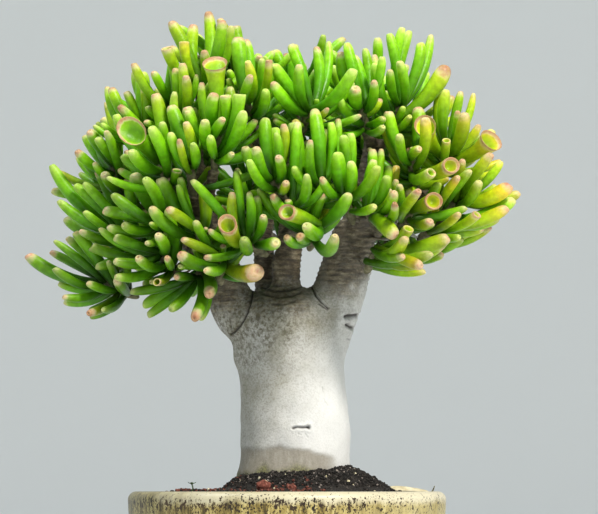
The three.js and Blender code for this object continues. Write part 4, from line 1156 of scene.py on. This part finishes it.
# The profile runs from the middle of the foot up the outside, over the lip and down the inside to the floor,
# and is turned round Z. A swell of two and three waves round it makes the wall a little uneven.
def makePot():
    wall, lip, taper, floor = pot["wall"], pot["lip"], pot["taper"], pot["floor"]
    low, inner = potRadius - taper, potRadius - wall
    foot, footHeight, hollow, ring = pot["footRadius"], pot["footHeight"], pot["footHollow"], pot["footRing"]
    heel, corner = pot["heel"], pot["innerCorner"]
    rises = np.linspace(0.012, potHeight - 2.2 * lip, 22)
    outside = np.stack([low + (taper - 0.0004) * smoothStep(rises, 0.0, 0.05), rises], -1)
    outside[:, 0] += pot["ringDepth"] * np.sin(2 * np.pi * rises / pot["ringPitch"])
    insideRises = np.linspace(potHeight - lip, floor + corner, 8)
    inside = np.stack([inner - taper * smoothStep(-insideRises, -potHeight, 0), insideRises], -1)
    profile = np.concatenate([
        [(0.0004, hollow), (foot - ring - 0.0015, hollow)],
        [(foot - ring, 0.0003), (foot - ring + 0.0005, 0.0), (foot - 0.0008, 0.0), (foot, 0.0008)],
        [(foot, footHeight - 0.0004), (foot + 0.0006, footHeight), (low - heel - 0.001, footHeight + 0.0002)],
        arcOf((low - heel, footHeight + heel + 0.0002), heel, -85, -5, 9),
        outside,
        arcOf((potRadius - lip, potHeight - lip), lip, 0, 90, 10),
        arcOf((inner + corner, potHeight - corner), corner, 90, 180, 8),
        inside,
        arcOf((inner - taper - corner, floor + corner), corner, 0, -90, 5),
        [(0.0004, floor)],
    ])
    points = lathe(profile, pot["turns"])
    angle = np.arctan2(points[:, 1], points[:, 0])
    swell = pot["unevenness"] * (np.sin(2 * angle + 0.6) + 0.6 * np.sin(3 * angle + 2.0))
    swell *= points[:, 2] > 0.004
    points[:, :2] *= 1 + (swell / potRadius)[:, None]
    points = np.concatenate([points, [(0, 0, profile[0, 1]), (0, 0, profile[-1, 1])]])
    faces = gridFaces(len(profile), pot["turns"]).tolist() + capFaces(len(profile), pot["turns"])
    drillDrains(makePiece("glazedPot", points, faces, [glazeMaterial()], ["pot"]))


makePot()
print("pot made")


soil = {
    "edge": 0.0555, "level": 0.0603, "shoulder": 0.060, "inner": 0.0777,
    "mound": (0.0115, -0.002), "moundHeight": 0.0102, "moundRadius": 0.0435,
    "moundEdge": 8, "moundSlope": 0.1,
    "fallFrom": 0.034, "fall": 0.42,
    "bottom": 0.0093, "bottomRadius": 0.0735,
    "rings": 88, "turns": 220,
    "crumbs": 9500, "crumbSmall": 0.00028, "crumbLarge": 0.0013, "crumbsOnMound": 0.75,
    "largestPale": 0.00095, "darkTone": 0.8,  # crumbs over this size are no paler than this tone
    "grit": 340, "gritSmall": 0.0005, "gritLarge": 0.0015,
    "chips": 16, "chipSmall": 0.0004, "chipLarge": 0.0010,
    "firstChip": (-0.0115, -0.040), "firstChipSize": 0.0019,
    # red grit round the lava stones and at the left, and where the chips lie
    "stonesAt": (-0.003, -0.054), "stonesSpread": (0.009, 0.006),
    "leftGrit": [(-0.06, -0.024), (-0.05, 0.01)], "chipsAt": [(-0.05, 0.06), (-0.06, -0.02)],
    "lumps": [(0.0009, 0.0055), (0.0005, 0.0023), (0.0003, 0.001)],  # height and size of the ground's crumbs
    "peat": [(0.3, "#0d0b0a"), (0.5, "#1d1917"), (0.64, "#38322e"), (0.74, "#8a8078")],
    "paleCrumb": "#a69a93",
    "lava": [(0.3, "#31160f"), (0.48, "#66352a"), (0.62, "#8f5345"), (0.74, "#c8a89a")],
    "limestone": [(0.3, "#b5a682"), (0.5, "#d9cfae"), (0.7, "#e6dec6")],
}


# a level inside a shoulder, falling to the edge, plus a mound exp(-d^8) whose top rises and then falls to the
# right, plus crumbs
def soilHeight(x, y):
    moundX, moundY = soil["mound"]
    slope = smoothStep(np.hypot(x, y), soil["shoulder"], soil["inner"])
    mound = np.exp(-(np.hypot(x - moundX, y - moundY) / soil["moundRadius"]) ** soil["moundEdge"])
    top = soil["moundHeight"] + soil["moundSlope"] * np.maximum(x - moundX, 0)
    top = np.maximum(top - soil["fall"] * np.maximum(x - soil["fallFrom"], 0), 0.001)
    height = soil["level"] - (soil["level"] - soil["edge"]) * slope + top * mound
    places = np.stack([x, y, np.zeros_like(x)], -1)
    crumbs = sum(lump * solidNoise(places, cell) for lump, cell in soil["lumps"])
    return height + crumbs * (0.45 + 0.55 * mound)


# Potting soil: dark peat and bark dust in crumbs, dry on top. It has no shine, and some crumbs are pale.
def soilMaterial():
    material, add, place = newMaterial("pottingSoil")
    tone = add(("Attribute", {"attribute_name": "tone"}), give="Fac")
    crumb = add("TexNoise", place, 1 / 0.0012, 4, 0.7)
    earth = add("ValToRGB", crumb, stops=soil["peat"])
    earth = add(multiply, 1, earth, add("MapRange", tone, 0, 0.9, 0.45, 1.6))
    pale = add("MapRange", tone, 0.88, 0.9, 0, 0.85)
    earth = add(blend, pale, earth, soil["paleCrumb"])
    return finishMaterial(material, Base_Color=earth, Roughness=0.95,
                          Normal=add("Bump", 0.8, 0.0008, Height=crumb))


# Lava grit: crushed red volcanic rock, full of pores, dusty and matt.
def lavaMaterial():
    material, add, place = newMaterial("crushedLava")
    tone = add(("Attribute", {"attribute_name": "tone"}), give="Fac")
    pores = add("TexNoise", place, 1 / 0.0014, 4, 0.7)
    rock = add("ValToRGB", pores, stops=soil["lava"])
    rock = add(multiply, 1, rock, add("MapRange", tone, 0, 1, 0.55, 1.2))
    return finishMaterial(material, Base_Color=rock, Roughness=0.9,
                          Normal=add("Bump", 0.9, 0.0009, Height=pores))


# A chip of pale limestone: fine-grained and chalky, with a warm stain here and there.
def limestoneMaterial():
    material, add, place = newMaterial("paleLimestone")
    stain = add("TexNoise", place, 1 / 0.005, 4, fine)
    grain = add("TexNoise", place, 1 / 0.0012, 3, fine)
    return finishMaterial(material, Base_Color=add("ValToRGB", stain, stops=soil["limestone"]),
                          Roughness=0.85, Normal=add("Bump", 0.3, 0.0005, Height=grain))


# many small broken bits: each is a ball of 20 faces whose 12 corners move in or out by up to a third
def scatterBits(name, centres, sizes, material, flatness, tones):
    golden = (1 + math.sqrt(5)) / 2
    pairs = [(a, b * golden) for a in (-1, 1) for b in (-1, 1)]
    corners = unit(np.array([(0, a, b) for a, b in pairs] + [(a, b, 0) for a, b in pairs]
                            + [(b, 0, a) for a, b in pairs], float))
    ball = bmesh.new()
    for corner in corners:
        ball.verts.new(corner)
    bmesh.ops.convex_hull(ball, input=ball.verts)
    faces = np.array(arraysOf(ball)[2])
    ball.free()
    count = len(centres)
    turn = chance.uniform(0, 2 * np.pi, count)
    rough = chance.uniform(0.67, 1.15, (count, 12, 1))
    bits = corners * rough * sizes[:, None, None] * np.array([1, 0.85, flatness])
    cos, sin = np.cos(turn)[:, None], np.sin(turn)[:, None]
    x, y, z = bits[..., 0], bits[..., 1], bits[..., 2]
    spun = np.stack([x * cos - y * sin, x * sin + y * cos, z], -1)
    allFaces = (faces[None] + 12 * np.arange(count)[:, None, None]).reshape(-1, 3)
    return makePiece(name, (spun + centres[:, None]).reshape(-1, 3), allFaces, [material], (),
                     {"tone": np.repeat(tones, 12)}, smooth=False)


# bits on the soil: their middles stand out of it by a share of their size, and they keep a margin to the pot
def layBits(name, x, y, sizes, material, tones, flatness, standOut, margin):
    kept = np.hypot(x, y) < soil["inner"] - margin
    centres = np.stack([x, y, soilHeight(x, y) + standOut * sizes], -1)
    scatterBits(name, centres[kept], sizes[kept], material, flatness, tones[kept])


# a disc of rings over a ring under it, each closed to a point in the middle
def makeSoil(earth, lava, chalk):
    rings, turns = soil["rings"], soil["turns"]
    distance = soil["inner"] * np.linspace(1, 0, rings + 1)[:-1] ** 0.9
    angle = np.arange(turns) * 2 * np.pi / turns
    x, y = distance[:, None] * np.cos(angle), distance[:, None] * np.sin(angle)
    top = np.stack([x, y, soilHeight(x, y)], -1).reshape(-1, 3)
    under = lathe(np.array([(soil["bottomRadius"], soil["bottom"])]), turns)
    middle = soilHeight(np.zeros(1), np.zeros(1))[0]
    points = np.concatenate([under, top, [(0, 0, soil["bottom"]), (0, 0, middle)]])
    faces = gridFaces(rings + 1, turns).tolist() + capFaces(rings + 1, turns)
    tone = 0.4 + 0.3 * solidNoise(points, 0.004, 7)
    makePiece("soilBed", points, faces, [earth], ["soil"], {"tone": tone})

    # crumbs lie thickest on the mound
    count = soil["crumbs"]
    turn = chance.uniform(0, 2 * np.pi, count)
    onMound = chance.random(count) < soil["crumbsOnMound"]
    reach = np.where(onMound, soil["moundRadius"] * 1.05, soil["inner"]) * np.sqrt(chance.random(count))
    x = np.where(onMound, soil["mound"][0], 0) + reach * np.cos(turn)
    y = np.where(onMound, soil["mound"][1], 0) + reach * np.sin(turn)
    sizes = soil["crumbSmall"] + (soil["crumbLarge"] - soil["crumbSmall"]) * chance.random(count) ** 2.4
    tones = chance.random(count) ** 1.25
    tones = np.where(sizes > soil["largestPale"], np.minimum(tones, soil["darkTone"]), tones)
    layBits("soilCrumbs", x, y, sizes, earth, tones, 0.8, 0.25, 0.002)

    # red grit lies in front: thick round the lava stones, thin towards the left
    count = soil["grit"]
    nearStones = chance.random(count) < 0.5
    x, y = [np.where(nearStones, chance.normal(middle, spread, count), chance.uniform(*left, count))
            for middle, spread, left in zip(soil["stonesAt"], soil["stonesSpread"], soil["leftGrit"])]
    sizes = soil["gritSmall"] + (soil["gritLarge"] - soil["gritSmall"]) * chance.random(count) ** 2
    layBits("lavaGrit", x, y, sizes, lava, chance.random(count), 0.75, 0.3, 0.003)

    # a few pale chips, the first of them in front of the trunk's left foot
    count = soil["chips"]
    x, y = [np.append(first, chance.uniform(*span, count))
            for first, span in zip(soil["firstChip"], soil["chipsAt"])]
    sizes = np.append(soil["firstChipSize"], chance.uniform(soil["chipSmall"], soil["chipLarge"], count))
    layBits("paleChips", x, y, sizes, chalk, np.zeros(count + 1), 1.1, 0.4, 0.004)


stones = {
    "cuts": 5, "smoothings": 3,
    "lavaSize": 0.86,  # over the size of their solids
    "lavaWear": 0.0008, "paleWear": 0.0004, "wearSize": 0.0024,
    "paleHeight": 0.72, "paleFall": 0.42, "paleShift": 0.004,
}


# Each stone is its solid, cut finer, rounded a little and worn by noise. The pale one is a wedge: its height
# falls from left to right.
def makeStones(lava, chalk):
    for name in ("lava_stone_1", "lava_stone_2", "pale_stone"):
        isPale = name == "pale_stone"
        points, triangles = mergedMesh(name)
        work = bmesh.new()
        corners = [work.verts.new(point) for point in points]
        for triangle in triangles:
            work.faces.new([corners[index] for index in triangle])
        bmesh.ops.subdivide_edges(work, edges=work.edges, cuts=stones["cuts"], use_grid_fill=True)
        bmesh.ops.triangulate(work, faces=work.faces)
        for _ in range(stones["smoothings"]):
            bmesh.ops.smooth_vert(work, verts=work.verts, factor=0.5, use_axis_x=True, use_axis_y=True,
                                  use_axis_z=True)
        places, normals, faces = arraysOf(work)
        work.free()
        if not isPale:
            foot = places.mean(0) * (1, 1, 0) + (0, 0, places[:, 2].min())
            places = foot + stones["lavaSize"] * (places - foot)
        wear = stones["paleWear"] if isPale else stones["lavaWear"]
        places = places + (wear * solidNoise(places, stones["wearSize"], 4))[:, None] * normals
        if isPale:
            low, high = np.array(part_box(name))
            toRight = (places[:, 0] - low[0]) / (high[0] - low[0])
            height = stones["paleHeight"] - stones["paleFall"] * toRight
            places[:, 2] = low[2] + (places[:, 2] - low[2]) * height
            places[:, 0] += stones["paleShift"] * (toRight - 0.3)
        makePiece("worn_" + name, places, faces, [chalk if isPale else lava],
                  [name], {"tone": np.full(len(places), 0.9)})


debris = {
    "weed": {"foot": (-0.0500, -0.038), "height": 0.0042, "radius": 0.00035, "bend": 0.0006,
             "leafTurns": (0.2, 2.9, 1.4, 4.6), "leafLength": 0.0022, "leafHalf": 0.0008, "leafThick": 0.0002,
             "leafRise": 0.45, "green": [(0.3, "#24351a"), (0.7, "#4a6a2a")]},
    "stalk": {"foot": (0.0730, -0.020), "lean": (0.0060, -0.002, 0.0075), "radius": 0.0006, "bend": 0.0012},
}


# Seedling leaf: thin, soft and dull green.
def weedMaterial():
    material, add, place = newMaterial("seedlingGreen")
    tone = add("TexNoise", place, 1 / 0.002, 3, fine)
    green = add("ValToRGB", tone, stops=debris["weed"]["green"])
    return finishMaterial(material, Base_Color=green, Roughness=0.5)


# height of the soil at one place
def groundAt(x, y):
    return soilHeight(np.array([x]), np.array([y]))[0]


# A tiny weed and a dry stalk. A stem is a tube along a curve, and a seed leaf is a flat drop: its half width
# is sin(pi t) over its length, and it has a thickness.
def makeDebris(stemSkin):
    weed = debris["weed"]
    x, y = weed["foot"]
    rise = np.linspace(-0.1, 1, 8)
    height = groundAt(x, y) + weed["height"] * rise
    line = np.stack([x + weed["bend"] * np.sin(3 * rise), np.full(8, y), height], -1)
    points, faces = tubeAlong(line, np.full(8, weed["radius"]), 6)
    for turn in weed["leafTurns"]:
        t = np.linspace(0, 1, 7)
        half = weed["leafHalf"] * np.sin(np.pi * np.clip(t, 0.03, 0.97))
        way = np.array([math.cos(turn), math.sin(turn), weed["leafRise"]])
        side = half[:, None] * np.array([-math.sin(turn), math.cos(turn), 0])
        thick = np.array([0, 0, weed["leafThick"]])
        middle = line[-1] + weed["leafLength"] * t[:, None] * way
        blade = np.stack([middle + side, middle + thick, middle - side, middle - thick], 1).reshape(-1, 3)
        start = len(points)
        points = np.concatenate([points, blade])
        ends = [[3, 2, 1, 0], list(range(len(blade) - 4, len(blade)))]
        faces += [[corner + start for corner in face] for face in gridFaces(7, 4).tolist() + ends]
    makePiece("seedling", points, faces, [weedMaterial()])

    stalk = debris["stalk"]
    x, y = stalk["foot"]
    share = np.linspace(-0.15, 1, 9)[:, None]
    bend = np.array([stalk["bend"], 0, 0]) * np.sin(np.pi * share)
    line = (x, y, groundAt(x, y)) + share * np.array(stalk["lean"]) + bend
    points, faces = tubeAlong(line, stalk["radius"] * np.linspace(1.2, 0.5, 9), 6)
    makePiece("dryStalk", points, faces, [stemSkin])


earth, lava, chalk = soilMaterial(), lavaMaterial(), limestoneMaterial()
makeSoil(earth, lava, chalk)
makeStones(lava, chalk)
makeDebris(bpy.data.materials["youngBark"])
print("soil, stones and small things made")
